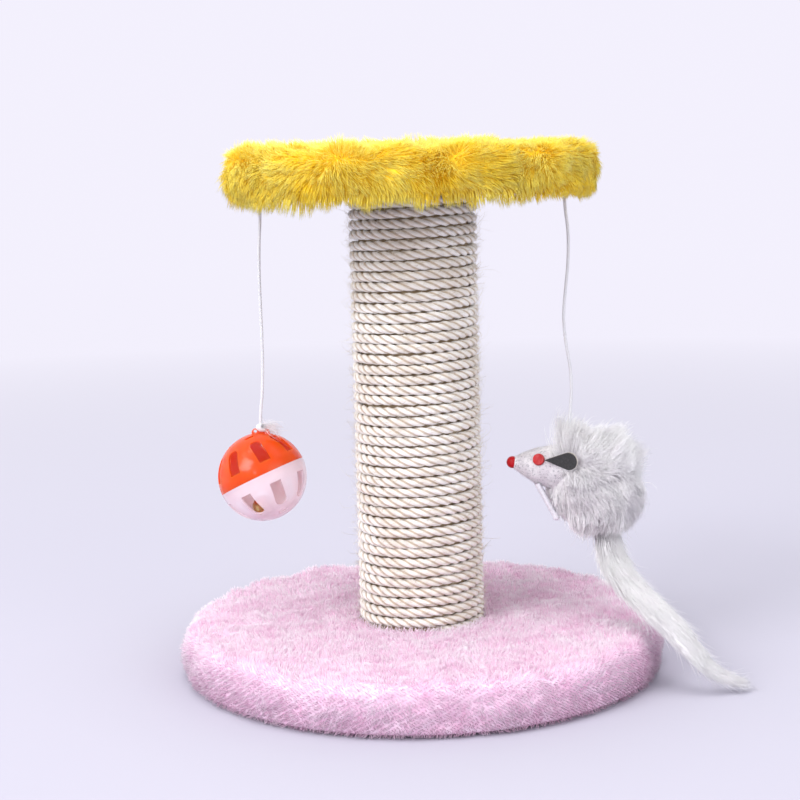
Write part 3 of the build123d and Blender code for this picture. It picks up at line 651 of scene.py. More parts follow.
def top_hair_lengths(roots, normals, under, hem, low_side, droop, rng):
    """Hair lengths: short below, clipped round the hooks, uneven along the hem."""
    length = top_pile * rng.uniform(0.65, 1.05, len(roots)) * (1 + 0.16 * waves(roots, 16 * MM, 24))
    length = np.where(under & ~hem, length * 0.42, length)
    length = np.where(hem, length * droop, length)
    by_hook = np.hypot(np.abs(roots[:, 0]) - hook_circle, roots[:, 1]) < hook_clearing
    length = np.where(under & by_hook, length * 0.2, length)
    length = np.where(low_side, length * (0.45 + 0.55 * droop), length)
    return np.where(normals[:, 2] > 0.8, length * 0.85, length)


def top_hair_tips(roots, normals, rng):
    """Where the long pile's tips are, how long its hairs are and which lock each is in."""
    radial = unit(roots * [1, 1, 0])
    side = np.clip(1 - normals[:, 2:3], 0, 1)
    way = top_hair_ways(roots, radial, side, rng)
    angle = np.arctan2(roots[:, 1], roots[:, 0])
    droop = 0.80 + 0.24 * np.cos(angle + math.radians(112)) + 0.10 * np.sin(angle * 5 + 1)
    under = normals[:, 2] < -0.4
    hem = under & (np.hypot(roots[:, 0], roots[:, 1]) > top_board_radius - 2 * MM)
    low_side = ~under & (roots[:, 2] < top_board_low.z + 5 * MM)
    way = np.where(under[:, None], radial * 0.5 + rng.normal(0, 0.25, (len(roots), 3)), way)
    hanging = down_way + radial * 0.25 + rng.normal(0, 0.14, (len(roots), 3))
    way = np.where(hem[:, None], hanging, way)
    length = top_hair_lengths(roots, normals, under, hem, low_side, droop, rng)
    way = way + np.where(low_side[:, None], down_way * 0.5, 0.0)
    tips = roots + unit(normals * (0.75 - 0.33 * side) + way) * length[:, None]
    tips, owner = gather(roots, tips, 14, 0.55, SEED + 11)
    return tips, length, owner


def add_top_plush():
    coat = pile_material("platform_pile", yellow_shaded, yellow_lit, yellow_pale, 20 * MM, 0.03, 0.8, 0.94)
    cloth_coat = cloth_material("platform_cloth", yellow_shaded, yellow_lit, 200, 800)
    profile = top_profile(top_skin_inset)
    cloth = turned_mesh("platform_cover", profile, 260, cloth_coat, top_bumps)
    settle(cloth, "stand", "platform_plush")
    roots, normals = on_turned(profile, top_hairs)
    roots = roots + normals * top_bumps(roots)[:, None]
    rng = np.random.default_rng(SEED + 10)
    tips, length, owner = top_hair_tips(roots, normals, rng)
    bows = normals * (length * 0.13)[:, None]
    widths = rng.uniform(0.26, 0.44, len(roots)) * MM
    tones = np.clip(rng.normal(0.6, 0.22, len(roots)) + 0.2 * np.sin(owner * 2.3), 0, 1)
    pile = add_pile("platform_pile", coat, (roots, tips, bows, widths, tones), pile_parts)


# Rope


rope_diameter = 4.5 * MM
rope_pitch = 4.95 * MM
rope_path_radius = rope_outside - rope_diameter / 2
rope_turns = 42
rope_start = math.pi / 2
rope_lay = 17.5 * MM
rope_step = 1.15 * MM
hidden_turns = 0.45
rope_joint = 0.0055
lobes = 3
lobe_reach = 0.44
lobe_radius = 0.58
lobe_points = 5


def rope_section(angle):
    """How far the laid rope's outside is from its middle, as a share of its radius."""
    off = np.abs(np.mod(angle + math.pi / lobes, 2 * math.pi / lobes) - math.pi / lobes)
    return lobe_reach * np.cos(off) + np.sqrt(lobe_radius**2 - (lobe_reach * np.sin(off)) ** 2)


def round_post(t):
    """The outward and forward ways of the rope, that many turns from its start."""
    angle = rope_start + 2 * math.pi * t
    zero = np.zeros(len(t))
    out = np.stack([np.cos(angle), np.sin(angle), zero], axis=1)
    return angle, out, np.stack([-np.sin(angle), np.cos(angle), zero], axis=1)


def rope_line(first, last):
    """Points along a winding's middle with its outward and upward ways."""
    turn = 2 * math.pi * rope_path_radius
    steps = int((last - first) * turn / rope_step)
    t = np.linspace(first, last, steps + 1)
    angle, out, _ = round_post(t)
    drift = np.stack([t * 6, np.cos(angle) * 2, np.sin(angle) * 2], axis=1)
    wander = waves(drift, 3.0, 31) * 0.16 * MM
    middle = out * rope_path_radius
    middle[:, 2] = rope_foot + rope_diameter / 2 + rope_pitch * t + wander
    forward = unit(np.gradient(middle, axis=0))
    return t, middle, out, np.cross(out, forward)


def rope_material():
    mat, shader = new_material("sisal", (0.85, 0.80, 0.70), 0.85, Sheen_Weight=0.15)
    shader.inputs["Specular IOR Level"].default_value = 0.25
    # Painted shade: the grooves between the laid strands are darker than their crowns.
    stops = (0.0, (0.66, 0.55, 0.44)), (0.22, (0.90, 0.85, 0.79)), (0.6, (1.0, 0.985, 0.965))
    painted_groove_shade = ramp(mat, value_of(mat, "height"), *stops)
    place = node(mat, "UVMap", uv_map="Lay").outputs["UV"]
    drawn = node(mat, "Mapping", {"Vector": place, "Scale": (140, 60, 1)}).outputs[0]
    links = {"Vector": drawn, "Scale": 1.0, "Detail": 5.0, "Roughness": 0.6}
    fibre = node(mat, "TexNoise", links).outputs["Fac"]
    pale = ramp(mat, fibre, (0.34, (0.70, 0.63, 0.56)), (0.56, (1.0, 1.0, 0.99)))
    streaky = blended(mat, 0.55, painted_groove_shade, pale, "MULTIPLY")
    patch = ramp(mat, noise_of(mat, 55, 3.0), (0.35, (0.87, 0.83, 0.79)), (0.62, (1.0, 1.0, 1.0)))
    to_color(mat, shader, blended(mat, 1.0, streaky, patch, "MULTIPLY"))
    bump_of(mat, shader, fibre, 0.7, 0.6 * MM)
    return mat


def rope_winding(name, first, last, coat, replaced):
    """Three strands laid round each other, wound on the post."""
    t, middle, out, up = rope_line(first, last)
    columns = lobes * lobe_points
    length = (t - t[0]) * 2 * math.pi * rope_path_radius
    uneven = waves(np.stack([t * 5, t * 0, t * 0], axis=1), 4.0, 33)
    spin = 2 * math.pi * length / rope_lay + 0.8 * uneven
    angle = np.linspace(0, 2 * math.pi, columns, endpoint=False)
    share = rope_section(angle)
    theta = angle[None, :] - spin[:, None]
    spots = [np.repeat(length, columns) / rope_lay * 9]
    spots += [np.tile(part * 5, len(t)) for part in (np.cos(angle), np.sin(angle))]
    rough = waves(np.stack(spots, axis=1), 2.5, 32).reshape(len(t), columns)
    reach = (rope_diameter / 2 * share * 1.02)[None, :] + rough * 0.12 * MM
    verts = (middle[:, None, :] + out[:, None, :] * (np.cos(theta) * reach)[..., None]
             + up[:, None, :] * (np.sin(theta) * reach)[..., None])
    inner = np.hypot(verts[..., 0], verts[..., 1])
    verts[..., :2] *= (np.maximum(inner, tube_radius + 0.03 * MM) / inner)[..., None]
    faces = ring_faces(len(t), columns) + end_faces(len(t), columns)
    piece = add_mesh(name, verts.reshape(-1, 3), faces, coat)
    depth = (share - share.min()) / (share.max() - share.min())
    write_values(piece.data, "height", np.tile(depth, len(t)))
    lay_along_rope(piece.data, len(t), columns, length)
    settle(piece, "stand", replaced)


def lay_along_rope(mesh, rings, columns, length):
    """Two maps: Lay runs with the strands, OFBake folds the rope into rows of one sheet."""
    rows = 64
    rows_long = math.ceil((rings - 1) / rows)

    def folded(i, di, share):
        row, place = divmod(i, rows_long)
        return [(place + di) / rows_long, (row + 0.05 + 0.9 * share) / rows]

    write_ring_map(mesh, "Lay", rings, columns, lambda i, di, share: [length[i + di], share])
    write_ring_map(mesh, "OFBake", rings, columns, folded)


fibre_count = 7600


def fibre_material():
    mat, shader = new_material("sisal_fibre", (0.87, 0.83, 0.74), 0.8)
    stops = (0.0, (0.42, 0.30, 0.18)), (0.25, (0.80, 0.74, 0.62)), (1.0, (0.93, 0.91, 0.86))
    to_color(mat, shader, ramp(mat, value_of(mat, "tone"), *stops))
    return mat


def add_rope_fibres():
    """Loose fibres that stand off the rope."""
    rng = np.random.default_rng(SEED + 30)
    t = rng.uniform(0, rope_turns, fibre_count)
    _, out, along = round_post(t)
    tilt = rng.uniform(-0.6, 0.9, fibre_count)
    around = out * np.cos(tilt)[:, None] + up_way * np.sin(tilt)[:, None]
    middle = out * rope_path_radius
    middle[:, 2] = rope_foot + rope_diameter / 2 + rope_pitch * t
    roots = middle + around * (rope_diameter / 2 * 0.93)
    length = rng.gamma(2.2, 2.0, fibre_count) * MM + 1.5 * MM
    free = rng.uniform(0, 1, fibre_count) ** 2.5
    sign = np.where(rng.uniform(0, 1, fibre_count) < 0.8, 1.0, -1.0)
    way = along * sign[:, None] + up_way * rng.normal(0.35, 0.4, (fibre_count, 1))
    way = unit(way + around * (0.08 + 0.75 * free)[:, None])
    tips = roots + way * length[:, None]
    bows = around * rng.normal(0.05, 0.06, (fibre_count, 1)) + rng.normal(0, 0.10, (fibre_count, 3))
    bows = bows * length[:, None]
    tips[:, 2] = np.clip(tips[:, 2], rope_foot, rope_head + 2 * MM)
    widths = rng.uniform(0.09, 0.17, fibre_count) * MM
    tones = rng.uniform(0, 1, fibre_count)
    piece = strands("rope_fibres", fibre_material(), roots, tips, bows, widths, tones, steps=4)
    settle(piece, "stand")


def add_rope():
    coat = rope_material()
    half = rope_turns / 2
    end = rope_diameter / (2 * math.pi * rope_path_radius)
    meeting = half + end
    rope_winding("rope_lower", -hidden_turns, meeting, coat, "sisal_rope_lower")
    last = 2 * half + 3 * end + rope_joint
    rope_winding("rope_upper", meeting + rope_joint, last, coat, "sisal_rope_upper")
    add_rope_fibres()


# Strings. The points repeat those that the part's own strings follow, in millimetres.


strings = {
    "ball": [
        (-74.0, 0.0, 230.2), (-74.0, 0.0, 224.0), (-75.0, 0.0, 213.0), (-75.6, 0.2, 198.0),
        (-75.5, 0.0, 180.0), (-75.3, -0.2, 163.0), (-75.6, 0.0, 148.0), (-76.4, 0.1, 136.0),
        (-77.6, 0.0, 127.06), (-77.6, 0.0, 123.06),
    ],
    "mouse": [
        (74.0, 0.0, 230.2), (74.0, 0.0, 225.5), (75.7, 0.0, 214.0), (75.4, 0.2, 198.0), (73.6, 0.0, 183.0),
        (72.6, -0.2, 171.0), (73.9, 0.0, 158.0), (76.1, 0.2, 146.0), (76.4, 0.0, 134.0), (75.2, -0.2, 122.0),
        (74.6, 0.0, 112.0), (74.6, 0.0, 100.4),
    ],
}
string_diameter = 1.5 * MM


def curve_line(name, kind, places, resolution):
    """Points along the smooth curve that a few places, in millimetres, steer."""
    curve = bpy.data.curves.new(name, "CURVE")
    curve.dimensions = "3D"
    curve.resolution_u = resolution
    spline = curve.splines.new(kind)
    spots = spline.bezier_points if kind == "BEZIER" else spline.points
    spots.add(len(places) - 1)
    for spot, place in zip(spots, places):
        middle = [c * MM for c in place]
        if kind == "BEZIER":
            spot.co = middle
            spot.handle_left_type = spot.handle_right_type = "AUTO"
        else:
            spot.co = (*middle, 1)
    if kind == "NURBS":
        spline.order_u = 3
        spline.use_endpoint_u = True
    holder = bpy.data.objects.new(name, curve)
    bpy.context.scene.collection.objects.link(holder)
    bpy.context.view_layer.update()
    mesh = bpy.data.meshes.new_from_object(holder)
    line = np.array([v.co for v in mesh.vertices], float)
    bpy.data.objects.remove(holder)
    return line


def tube_mesh(name, line, radius, coat, sides=14):
    """A round tube along a line, with closed ends and a map that runs along it."""
    forward = unit(np.gradient(line, axis=0))
    side = unit(np.cross(forward, [0.0, 1.0, 0.05]))
    other = np.cross(forward, side)
    turn = np.linspace(0, 2 * math.pi, sides, endpoint=False)
    verts = (line[:, None, :] + side[:, None, :] * (np.cos(turn) * radius)[None, :, None]
             + other[:, None, :] * (np.sin(turn) * radius)[None, :, None]).reshape(-1, 3)
    piece = add_mesh(name, verts, ring_faces(len(line), sides) + end_faces(len(line), sides), coat)
    run = distances(line)
    write_ring_map(piece.data, "Lay", len(line), sides, lambda i, di, share: [run[i + di], share])
    return piece


def string_material():
    mat, shader = new_material("elastic_string", (0.80, 0.80, 0.83), 0.6, Sheen_Weight=0.2)
    place = node(mat, "UVMap", uv_map="Lay").outputs["UV"]
    moved = node(mat, "Mapping", {"Vector": place, "Scale": (1500, 6.2832, 1)}).outputs[0]
    links = {"Vector": moved, "Scale": 1.0, "Distortion": 0.4}
    weave = node(mat, "TexWave", links, bands_direction="DIAGONAL").outputs["Fac"]
    mottle(mat, shader, weave, (0.66, 0.66, 0.70), (0.86, 0.86, 0.89), 0.0, 0.6)
    bump_of(mat, shader, weave, 0.5, 0.3 * MM)
    return mat


def add_string(toy, points, coat):
    name = "string_" + toy
    line = curve_line(name + "_line", "NURBS", points, 24)
    piece = tube_mesh(name, line, string_diameter / 2, coat)
    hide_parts(toy + "_string")
    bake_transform(piece)


# Finishes of the hard pieces


def give(mat, *node_names):
    """Gives CAD pieces a finish."""
    for name in node_names:
        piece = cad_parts[name]
        piece.data.materials.clear()
        piece.data.materials.append(mat)


def board_material(name, dark, light, scale):
    mat, shader = new_material(name, light, 0.8)
    chips = noise_of(mat, scale, 8.0, 0.7, (1, 1, 2.5))
    mottle(mat, shader, chips, dark, light, 0.3, 0.6)
    bump_of(mat, shader, chips, 0.4, 0.6 * MM)
    return mat


def felt_material():
    mat, shader = new_material("lining_felt", (0.05, 0.05, 0.055), 0.95, Sheen_Weight=0.3)
    fluff = noise_of(mat, 1400, 6.0, 0.7)
    mottle(mat, shader, fluff, (0.03, 0.03, 0.035), (0.13, 0.13, 0.14))
    bump_of(mat, shader, fluff, 0.6, 0.5 * MM)
    return mat


def metal_material(name, color, roughness):
    mat, shader = new_material(name, color, roughness, Metallic=1.0)
    fine = noise_of(mat, 900, 4.0)
    mottle(mat, shader, fine, tuple(c * 0.8 for c in color), color)
    bump_of(mat, shader, fine, 0.15, 0.2 * MM)
    return mat


def shell_material(name, color, alpha, dark, glow):
    mat, shader = new_material(name, color, 0.09, Alpha=alpha, Subsurface_Weight=glow)
    shader.inputs["Specular IOR Level"].default_value = 0.3
    shader.inputs["Subsurface Radius"].default_value = (1.0, 0.3, 0.08)
    shader.inputs["Subsurface Scale"].default_value = 6 * MM
    mottle(mat, shader, noise_of(mat, 90, 3.0), dark, color)
    bump_of(mat, shader, noise_of(mat, 250, 3.0), 0.06, 0.4 * MM)
    return mat


def bead_material():
    mat, shader = new_material("red_bead", (0.44, 0.004, 0.008), 0.3)
    shader.inputs["Specular IOR Level"].default_value = 0.3
    bump_of(mat, shader, noise_of(mat, 420, 2.0), 0.5, 0.8 * MM)
    mottle(mat, shader, noise_of(mat, 200, 3.0), (0.34, 0.002, 0.005), (0.52, 0.005, 0.010))
    return mat


def finish_hard_pieces():
    board = board_material("particle_board", (0.45, 0.33, 0.20), (0.72, 0.58, 0.40), 260)
    plug = board_material("softwood", (0.60, 0.44, 0.26), (0.80, 0.65, 0.45), 130)
    tube = board_material("paper_board", (0.34, 0.24, 0.14), (0.50, 0.38, 0.25), 500)
    zinc = metal_material("zinc", (0.70, 0.71, 0.73), 0.32)
    wire = metal_material("wire", (0.62, 0.62, 0.63), 0.4)
    skin = metal_material("leg_skin", (0.80, 0.78, 0.84), 0.5)
    skin.node_tree.nodes["Principled BSDF"].inputs["Metallic"].default_value = 0.0
    give(board, "base_board", "platform_board")
    give(plug, "lower_plug", "upper_plug")
    give(tube, "post_tube")
    give(zinc, "base_washer", "base_bolt", "tee_nut", "lower_plug_nails", "upper_plug_nails",
         "platform_screws", "bell_pellet")
    give(wire, "base_staples", "platform_staples", "rope_end_staples", "string_hooks")
    give(metal_material("brass", (0.72, 0.48, 0.20), 0.28), "ball_bell")
    orange = shell_material("shell_orange", (1.0, 0.095, 0.008), 0.84, (1.0, 0.080, 0.006), 1.0)
    clear = shell_material("shell_clear", (0.93, 0.80, 0.86), 0.62, (0.90, 0.74, 0.81), 0.0)
    give(orange, "ball_upper_shell")
    give(clear, "ball_lower_shell")
    give(bead_material(), "mouse_nose", "mouse_eye_left", "mouse_eye_right")
    give(skin, "mouse_front_leg_left", "mouse_front_leg_right", "mouse_rear_leg_left", "mouse_rear_leg_right",
         "mouse_core", "mouse_tail_plug")


lining_hole = 0.4 * MM
lining_play = 0.05 * MM


def add_linings():
    """Thin felt, stapled flat under each board."""
    felt = felt_material()
    for name, board in (("base_lining", "base_board"), ("platform_lining", "platform_board")):
        low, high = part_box(name)
        thick = (high.z - low.z) / 2 - lining_play
        middle = (low.z + high.z) / 2
        edge = high.x - 0.3 * MM
        lip = thick * 0.7
        profile = rounded([
            (lining_hole, middle - thick, 0), (edge - lip, middle - thick, 0), (edge, middle, 0),
            (edge - lip, middle + thick, 0), (lining_hole, middle + thick, 0),
        ], 4 * MM)
        sheet = turned_mesh(name + "_felt", profile, 160, felt)
        settle(sheet, "stand", name)


# Mouse


mouse_centre = np.array([84.0, 0.0, 89.0]) * MM
mouse_slope = math.radians(31.0)
fur_front, fur_back, fur_radius = 26.0 * MM, 28.0 * MM, 21.5 * MM
fur_inset = 5.5 * MM
fur_hairs = 29000
# Hairs grow behind this place on the back, and the strip of fur was cut this size
fur_start = -17 * MM
back_way = np.array([math.cos(mouse_slope), 0, -math.sin(mouse_slope)])
back_up = np.array([math.sin(mouse_slope), 0, math.cos(mouse_slope)])
# The fur's first white is painted shade for its roots and the skin below them.
white_shaded, white_lit, white_pale = (0.97, 0.93, 0.97), (1.0, 0.98, 1.0), (1.0, 1.0, 1.0)
# Locks that stand off the coat: where each starts, its way, its length and its reach
locks = [
    ((67, -3, 101), (-0.12, -0.05, 1.0), 34, 9),
    ((74, 2, 103), (0.04, 0.1, 1.0), 27, 8),
    ((82, -2, 104), (0.35, 0.1, 0.9), 15, 8),
    ((90, -4, 101), (0.60, -0.1, 0.75), 22, 8),
    ((97, 3, 94), (0.85, 0.1, 0.55), 21, 7),
    ((99, -4, 86), (0.75, -0.1, -0.45), 11, 7),
    ((97, -2, 80), (0.50, 0.0, -0.85), 14, 8),
    ((92, -8, 75), (0.15, -0.1, -0.95), 12, 8),
    ((82, -9, 75), (-0.15, -0.1, -1.0), 12, 8),
]


def egg_profile(along, inset, least):
    """The mouse's body as (r, place on its back), that far under its coat, r at least that."""
    front, back, wide = fur_front - inset, fur_back - inset, fur_radius - inset
    reach = np.where(along < 0, front, back) * along
    return np.stack([np.maximum(wide * np.sqrt(1 - along**2), least), reach], axis=1)


def egg_points(count, inset):
    """Even points on the mouse's body, that far under its coat, with normals."""
    local, normals = on_turned(egg_profile(np.linspace(-1, 1, 60), inset, 0.01 * MM), count)
    turn = np.stack([-back_up, [0, 1, 0], back_way], axis=0)
    return local @ turn + mouse_centre, normals @ turn


def head_radius(share):
    """The head's radius at a share of its length from the snout."""
    return np.interp(share, [0, 0.1, 0.25, 0.42, 0.7, 1.0], [2.4, 4.2, 6.3, 8.2, 10.4, 12.0]) * MM


def off_the_ears(roots, tips):
    """Which hairs pass neither through an ear nor in front of it."""
    low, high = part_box("mouse_ear_left")
    nearest = min(abs(low.y), abs(high.y)) - 0.6 * MM
    clear = np.ones(len(roots), bool)
    for t in np.linspace(0, 1, 7):
        x, y, z = (roots * (1 - t) + tips * t).T
        across = (x > low.x - 0.5 * MM) & (x < high.x + 0.2 * MM)
        level = (z > low.z - 0.2 * MM) & (z < high.z + 0.2 * MM)
        clear &= ~(across & level & (np.abs(y) > nearest))
    return clear


def add_fur_body():
    """The skin that the mouse's hairs grow from, open at both ends."""
    skin, shader = new_material("fur_skin", white_lit, 0.9)
    # Mottled between the fur's painted-shade white and its lit white.
    mottle(skin, shader, noise_of(skin, 260, 4.0), white_shaded, white_lit)
    profile = egg_profile(np.linspace(-0.8, 0.98, 41), fur_inset, 0.05 * MM)
    body = turned_mesh("fur_body", profile, 64, skin)
    body.data.transform(Matrix.Translation(mouse_centre) @ Matrix.Rotation(math.pi / 2 + mouse_slope, 4, "Y"))
    settle(body, "mouse", "mouse_fur")
    return body


def fur_tips(roots, normals, forward, rng):
    """The tips of a coat that is combed back and down, longer toward the rear."""
    rear = np.clip((forward + 12 * MM) / (36 * MM), 0, 1)[:, None]
    flow = back_way * (0.35 + 0.55 * rear) + down_way * 0.75
    flow = flow + three_waves(roots, 22 * MM, 51) * 0.22
    flow -= normals * (flow * normals).sum(axis=1, keepdims=True) * 0.9
    top = np.clip(normals[:, 2:3], 0, 1)
    way = unit(flow) * (1 - 0.4 * top) + normals * (0.30 + 0.35 * top)
    way = unit(way + rng.normal(0, 0.09, roots.shape))
    length = rng.uniform(8.5, 14.5, len(roots)) * MM * (0.55 + 0.6 * np.clip(rear[:, 0] + 0.15, 0, 1))
    return roots + way * length[:, None]


def with_locks(roots, tips, rng):
    """Draws the tips near each lock's start into that lock."""
    for place, pointing, reach, width in locks:
        spot = np.array(place) * MM
        far = np.linalg.norm(roots - spot, axis=1)
        share = np.clip(1.4 - far / (width * MM), 0, 1)[:, None] ** 0.6
        reaches = reach * MM * rng.uniform(0.6, 1.05, (len(roots), 1))
        goal = roots + (spot - roots) * 0.45 + unit(np.array([pointing]))[0] * reaches
        goal = goal + rng.normal(0, 1.6 * MM, roots.shape)
        tips = tips * (1 - share) + goal * share
    return tips


def add_mouse_fur():
    coat = pile_material("fur_coat", white_shaded, white_lit, white_pale, 12 * MM, 0.2, 0.6, 0.95)
    body = add_fur_body()
    roots, normals = egg_points(fur_hairs, fur_inset)
    forward = (roots - mouse_centre) @ back_way
    keep = forward > fur_start
    roots, normals, forward = roots[keep], normals[keep], forward[keep]
    rng = np.random.default_rng(SEED + 50)
    tips = with_locks(roots, fur_tips(roots, normals, forward, rng), rng)
    tips, owner = gather(roots, tips, 22, 0.38, SEED + 51)
    stray = rng.uniform(0, 1, (len(roots), 1)) < 0.07
    tips = tips + rng.normal(0, 2.6 * MM, roots.shape) * stray
    clear = off_the_ears(roots, tips)
    owner = np.maximum(np.cumsum(clear)[owner[clear]] - 1, 0)
    roots, tips, normals = roots[clear], tips[clear], normals[clear]
    drop = np.linalg.norm(tips - roots, axis=1)[:, None]
    curl = three_waves(roots[owner], 9 * MM, 54)
    bows = normals * (drop * 0.14) + (curl * 0.09 + rng.normal(0, 0.035, roots.shape)) * drop
    widths = rng.uniform(0.16, 0.30, len(roots)) * MM
    tones = np.clip(rng.normal(0.7, 0.2, len(roots)), 0, 1)
    values = (roots, tips, bows, widths, tones)
    hairs = add_pile("fur_hairs", coat, values, 3, "mouse", 4, mouse_centre)


def flock_material():
    mat, shader = new_material("mouse_flock", (0.86, 0.85, 0.87), 0.95, Sheen_Weight=0.3)
    speck = noise_of(mat, 900, 4.0, 0.7)
    broad = noise_of(mat, 120, 2.0)
    grey = ramp(mat, speck, (0.36, (0.42, 0.41, 0.44)), (0.48, (0.82, 0.80, 0.82)))
    soft = ramp(mat, broad, (0.4, (0.80, 0.77, 0.80)), (0.6, (1.0, 1.0, 1.0)))
    to_color(mat, shader, blended(mat, 1.0, grey, soft, "MULTIPLY"))
    bump_of(mat, shader, noise_of(mat, 1100, 4.0), 0.7, 0.6 * MM)
    return mat


flock_hairs = 6500
snout = np.array([46.6, 0, 100.4]) * MM
head_length = 27 * MM
head_tilt = math.radians(8)


def flock_roots():
    """Even points on the head, clear of the ears, with the ways off it and along it."""
    around, along = even_pairs(flock_hairs)
    share = 0.05 + 0.9 * np.sqrt(along)
    angle = 2 * math.pi * around
    way = np.array([math.cos(head_tilt), 0, -math.sin(head_tilt)])
    up = np.array([-way[2], 0, way[0]])
    normal = up * np.cos(angle)[:, None] + np.array([0, 1.0, 0]) * np.sin(angle)[:, None]
    radius = head_radius(share) - 0.2 * MM
    roots = snout + way * (head_length * share)[:, None] + normal * radius[:, None]
    low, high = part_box("mouse_ear_left")
    level = (roots[:, 2] > low.z - 1 * MM) & (roots[:, 2] < high.z + 0.6 * MM)
    by_ear = level & (roots[:, 0] > low.x - 1.5 * MM)
    clear = ~by_ear | (np.abs(normal[:, 1]) < 0.3)
    return roots[clear], normal[clear], way


def add_head_flock():
    give(flock_material(), "mouse_head")
    coat = pile_material("flock_hairs", (0.62, 0.60, 0.63), (0.84, 0.82, 0.85), (0.95, 0.93, 0.96), 3 * MM)
    roots, normal, way = flock_roots()
    rng = np.random.default_rng(SEED + 60)
    lean = unit(normal + way * 0.5 + rng.normal(0, 0.35, roots.shape))
    tips = roots + lean * (rng.uniform(0.7, 1.5, len(roots)) * MM)[:, None]
    widths = rng.uniform(0.14, 0.24, len(roots)) * MM
    tones = rng.uniform(0, 1, len(roots))
    piece = strands("head_flock", coat, roots, tips, np.zeros_like(roots), widths, tones, steps=2)
    settle(piece, "mouse")


# The tail's flat side faces this way, and its fibres stay this far off the floor
tail_face = np.array([0.35, -0.6, 0.72])
tail_hairs = 5600
tail_lowest = 0.5 * MM


def tail_line():
    """The tail's middle from its root, over the base's rim, to its tip on the floor."""
    rim_x, rim_z = base_radius / MM, base_high.z / MM
    stops = [
        (88.6, 0, 76), (92.6, -1, 64), (rim_x - 24, -18, rim_z + 22.6), (rim_x - 13.5, -42, rim_z + 12.2),
        (rim_x + 0.5, -57, rim_z), (rim_x + 12, -63, 12.2), (rim_x + 21, -63.5, 7), (rim_x + 32, -62.5, 3.2),
    ]
    return curve_line("tail_line", "BEZIER", stops, 16)


def tail_half_sizes(share):
    """Half the tail's width and thickness at a share of its length."""
    slim = share**2
    width = 11 * (1 - slim) + 1.8 * slim + 4.5 * np.sin(math.pi * share)
    thick = 8 * (1 - slim) + 1.6 * slim
    return width / 2 * MM, thick / 2 * MM


def tail_fibres(line, rng):
    """Where each fibre starts, is halfway and ends; they run with the tail and spread behind."""
    run = distances(line)
    total = run[-1]
    forward = unit(np.gradient(line, axis=0))
    across = unit(np.cross(tail_face, forward))
    over = np.cross(forward, across)
    share = rng.uniform(0, 0.93, tail_hairs) ** 0.9
    angle = rng.uniform(0, 2 * math.pi, tail_hairs)
    deep = np.sqrt(rng.uniform(0.15, 1, tail_hairs))
    reach = rng.uniform(16, 34, tail_hairs) * MM
    start = share * total
    end = start + np.minimum(reach, (1 - share) * total * rng.uniform(0.5, 1.0, tail_hairs))
    places = []
    for s, spread in ((start, 0.95), ((start + end) / 2, 1.25), (end, 1.75)):
        parts = [[np.interp(s, run, part[:, i]) for i in range(3)] for part in (line, across, over)]
        centre, side, top = [np.stack(part, axis=1) for part in parts]
        half_wide, half_thick = tail_half_sizes(s / total)
        aside = np.cos(angle) * deep * half_wide * spread
        above = np.sin(angle) * deep * half_thick * spread * 0.85
        places.append(centre + side * aside[:, None] + top * above[:, None])
    return places


def add_tail():
    """Long fibres that run with the tail."""
    coat = pile_material("tail_hairs", white_shaded, white_lit, white_pale, 12 * MM, 0.2, 0.55, 0.95)
    line = tail_line()
    rng = np.random.default_rng(SEED + 70)
    roots, mids, tips = tail_fibres(line, rng)
    stray = np.where(rng.uniform(0, 1, tail_hairs) < 0.15, 3.2, 1.0)[:, None]
    tips = tips + rng.normal(0, 0.9 * MM, tips.shape) * stray
    for part in (roots, mids, tips):
        part[:, 2] = np.maximum(part[:, 2], tail_lowest)
    bows = mids - (roots + tips) / 2
    widths = rng.uniform(0.2, 0.4, tail_hairs) * MM
    tones = np.clip(rng.normal(0.7, 0.2, tail_hairs), 0, 1)
    piece = strands("tail_hairs", coat, roots, tips, bows, widths, tones, steps=5)
    settle(piece, "mouse", "mouse_tail")
    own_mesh(piece)


ear_turn = math.radians(25)


def add_ears():
    """Black felt with pale cut edges."""
    mat, shader = new_material("ear_felt", (0.02, 0.02, 0.022), 0.9, Sheen_Weight=0.15)
    face = node(mat, "TexCoord").outputs["Normal"]
    flat = []
    for side in (1, -1):
        way = (-side * math.sin(ear_turn), math.cos(ear_turn), 0)
        dot = node(mat, "VectorMath", {0: face, 1: way}, operation="DOT_PRODUCT").outputs["Value"]
        flat.append(math_of(mat, "ABSOLUTE", dot))
    facing = math_of(mat, "MAXIMUM", *flat)
    fluff = ramp(mat, noise_of(mat, 1500, 5.0, 0.7), (0.3, (0.012, 0.012, 0.013)), (0.7, (0.05, 0.05, 0.052)))
    edge = ramp(mat, facing, (0.78, (0.55, 0.50, 0.45)), (0.86, (0.0, 0.0, 0.0)))
    to_color(mat, shader, blended(mat, 1.0, fluff, edge, "ADD"))
    bump_of(mat, shader, noise_of(mat, 1300, 5.0), 0.5, 0.4 * MM)
    give(mat, "mouse_ear_left", "mouse_ear_right")


# Knots


def wound_knot(name, centre, radius, tilt, coat, body, replaced):
    """A string wound round itself a few times, as a knot is."""
    t = np.linspace(0, 1, 150)
    angle = 2 * math.pi * 3 * t
    lift = (t - 0.5) * radius * 0.9
    ring = radius * (0.58 + 0.08 * np.sin(angle * 1.5))
    weave = radius * 0.2 * np.sin(angle * 0.5)
    line = np.stack([ring * np.cos(angle), ring * np.sin(angle), lift + weave], axis=1)
    turn = math.radians(tilt)
    turned = np.array(Matrix.Rotation(turn, 3, "X") @ Matrix.Rotation(turn / 2, 3, "Y"))
    line = line @ turned.T + np.array(centre) * MM
    settle(tube_mesh(name, line, radius * 0.36, coat, sides=10), body, replaced)


# The loop that hangs on each hook, in millimetres: half its width, its depth and its top above the
# string's middle line, and the rounding there and at its corners
loop_half_bar, loop_depth, loop_apex = 3.4, 3.1, 1.976
loop_grip, loop_corner = 1.1, 0.9


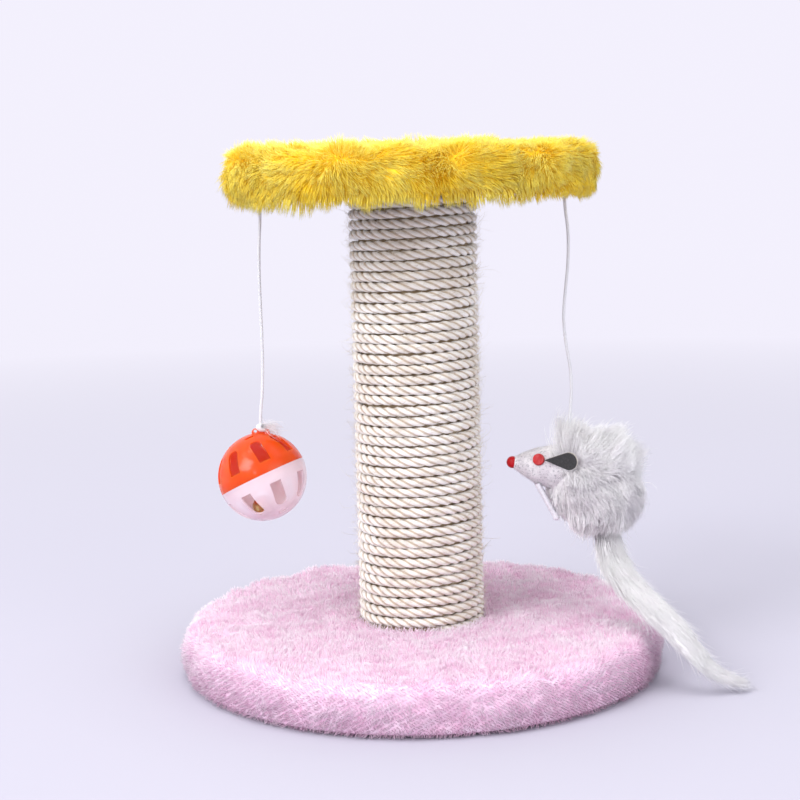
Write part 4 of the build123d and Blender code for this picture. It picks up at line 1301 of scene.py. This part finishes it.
def add_loop(name, coat, body, replaced):
    low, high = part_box(replaced)
    outline = rounded([
        (0, -loop_depth, 0), (loop_half_bar, -loop_depth, loop_corner), (0, loop_apex, loop_grip),
        (-loop_half_bar, -loop_depth, loop_corner), (-0.3, -loop_depth, 0),
    ], 0.25) * MM
    height = low.z + loop_wire + loop_depth * MM
    middle = np.full(len(outline), (low.x + high.x) / 2)
    line = np.stack([middle, outline[:, 0], outline[:, 1] + height], axis=1)
    settle(tube_mesh(name, line, loop_wire, coat, sides=10), body, replaced)


thread_count = 90


def add_frayed_end(name, start, goal, coat, body):
    """The string's cut end: fine threads that spread and curl."""
    rng = np.random.default_rng(SEED + 80)
    many = (thread_count, 3)
    roots = np.array(start) * MM + rng.normal(0, 0.35 * MM, many)
    tips = np.array(goal) * MM + rng.normal(0, 2.0 * MM, many)
    bows = up_way * 0.8 * MM + rng.normal(0, 1.7 * MM, many)
    widths = rng.uniform(0.16, 0.28, thread_count) * MM
    tones = rng.uniform(0.3, 1, thread_count)
    settle(strands(name, coat, roots, tips, bows, widths, tones, steps=5), body)


def add_knots(coat):
    wound_knot("knot_ball", (-77.6, 0, 121.0), 2.3 * MM, 70, coat, "ball", "ball_string_knot")
    for toy, x in (("ball", -74.0), ("mouse", 74.0)):
        add_loop(f"loop_{toy}", coat, f"{toy}_loop", f"{toy}_string_loop")
        wound_knot(f"top_knot_{toy}", (x, 0, 231.8), 1.6 * MM, 80, coat, f"{toy}_top_knot",
                   f"{toy}_string_top_knot")
    wound_knot("knot_mouse", (74.6, 0, 98.2), 2.2 * MM, 60, coat, "mouse", "mouse_string_knot")
    threads = pile_material("thread_ends", (0.86, 0.82, 0.86), (0.97, 0.95, 0.97), (1.0, 0.99, 1.0), 5 * MM)
    add_frayed_end("knot_ball_end", (-76.0, -0.6, 121.4), (-69.2, -2.2, 118.9), threads, "ball")


set_camera()
set_world()
for lamp_name, setting in lamps.items():
    add_lamp(lamp_name, *setting)
add_floor()
finish_hard_pieces()
add_linings()
cover = string_material()
for toy_name, string_points in strings.items():
    add_string(toy_name, string_points, cover)
add_knots(cover)
add_base_plush()
add_top_plush()
add_rope()
add_mouse_fur()
add_head_flock()
add_ears()
add_tail()

scene = bpy.context.scene
scene.view_settings.view_transform = "Standard"
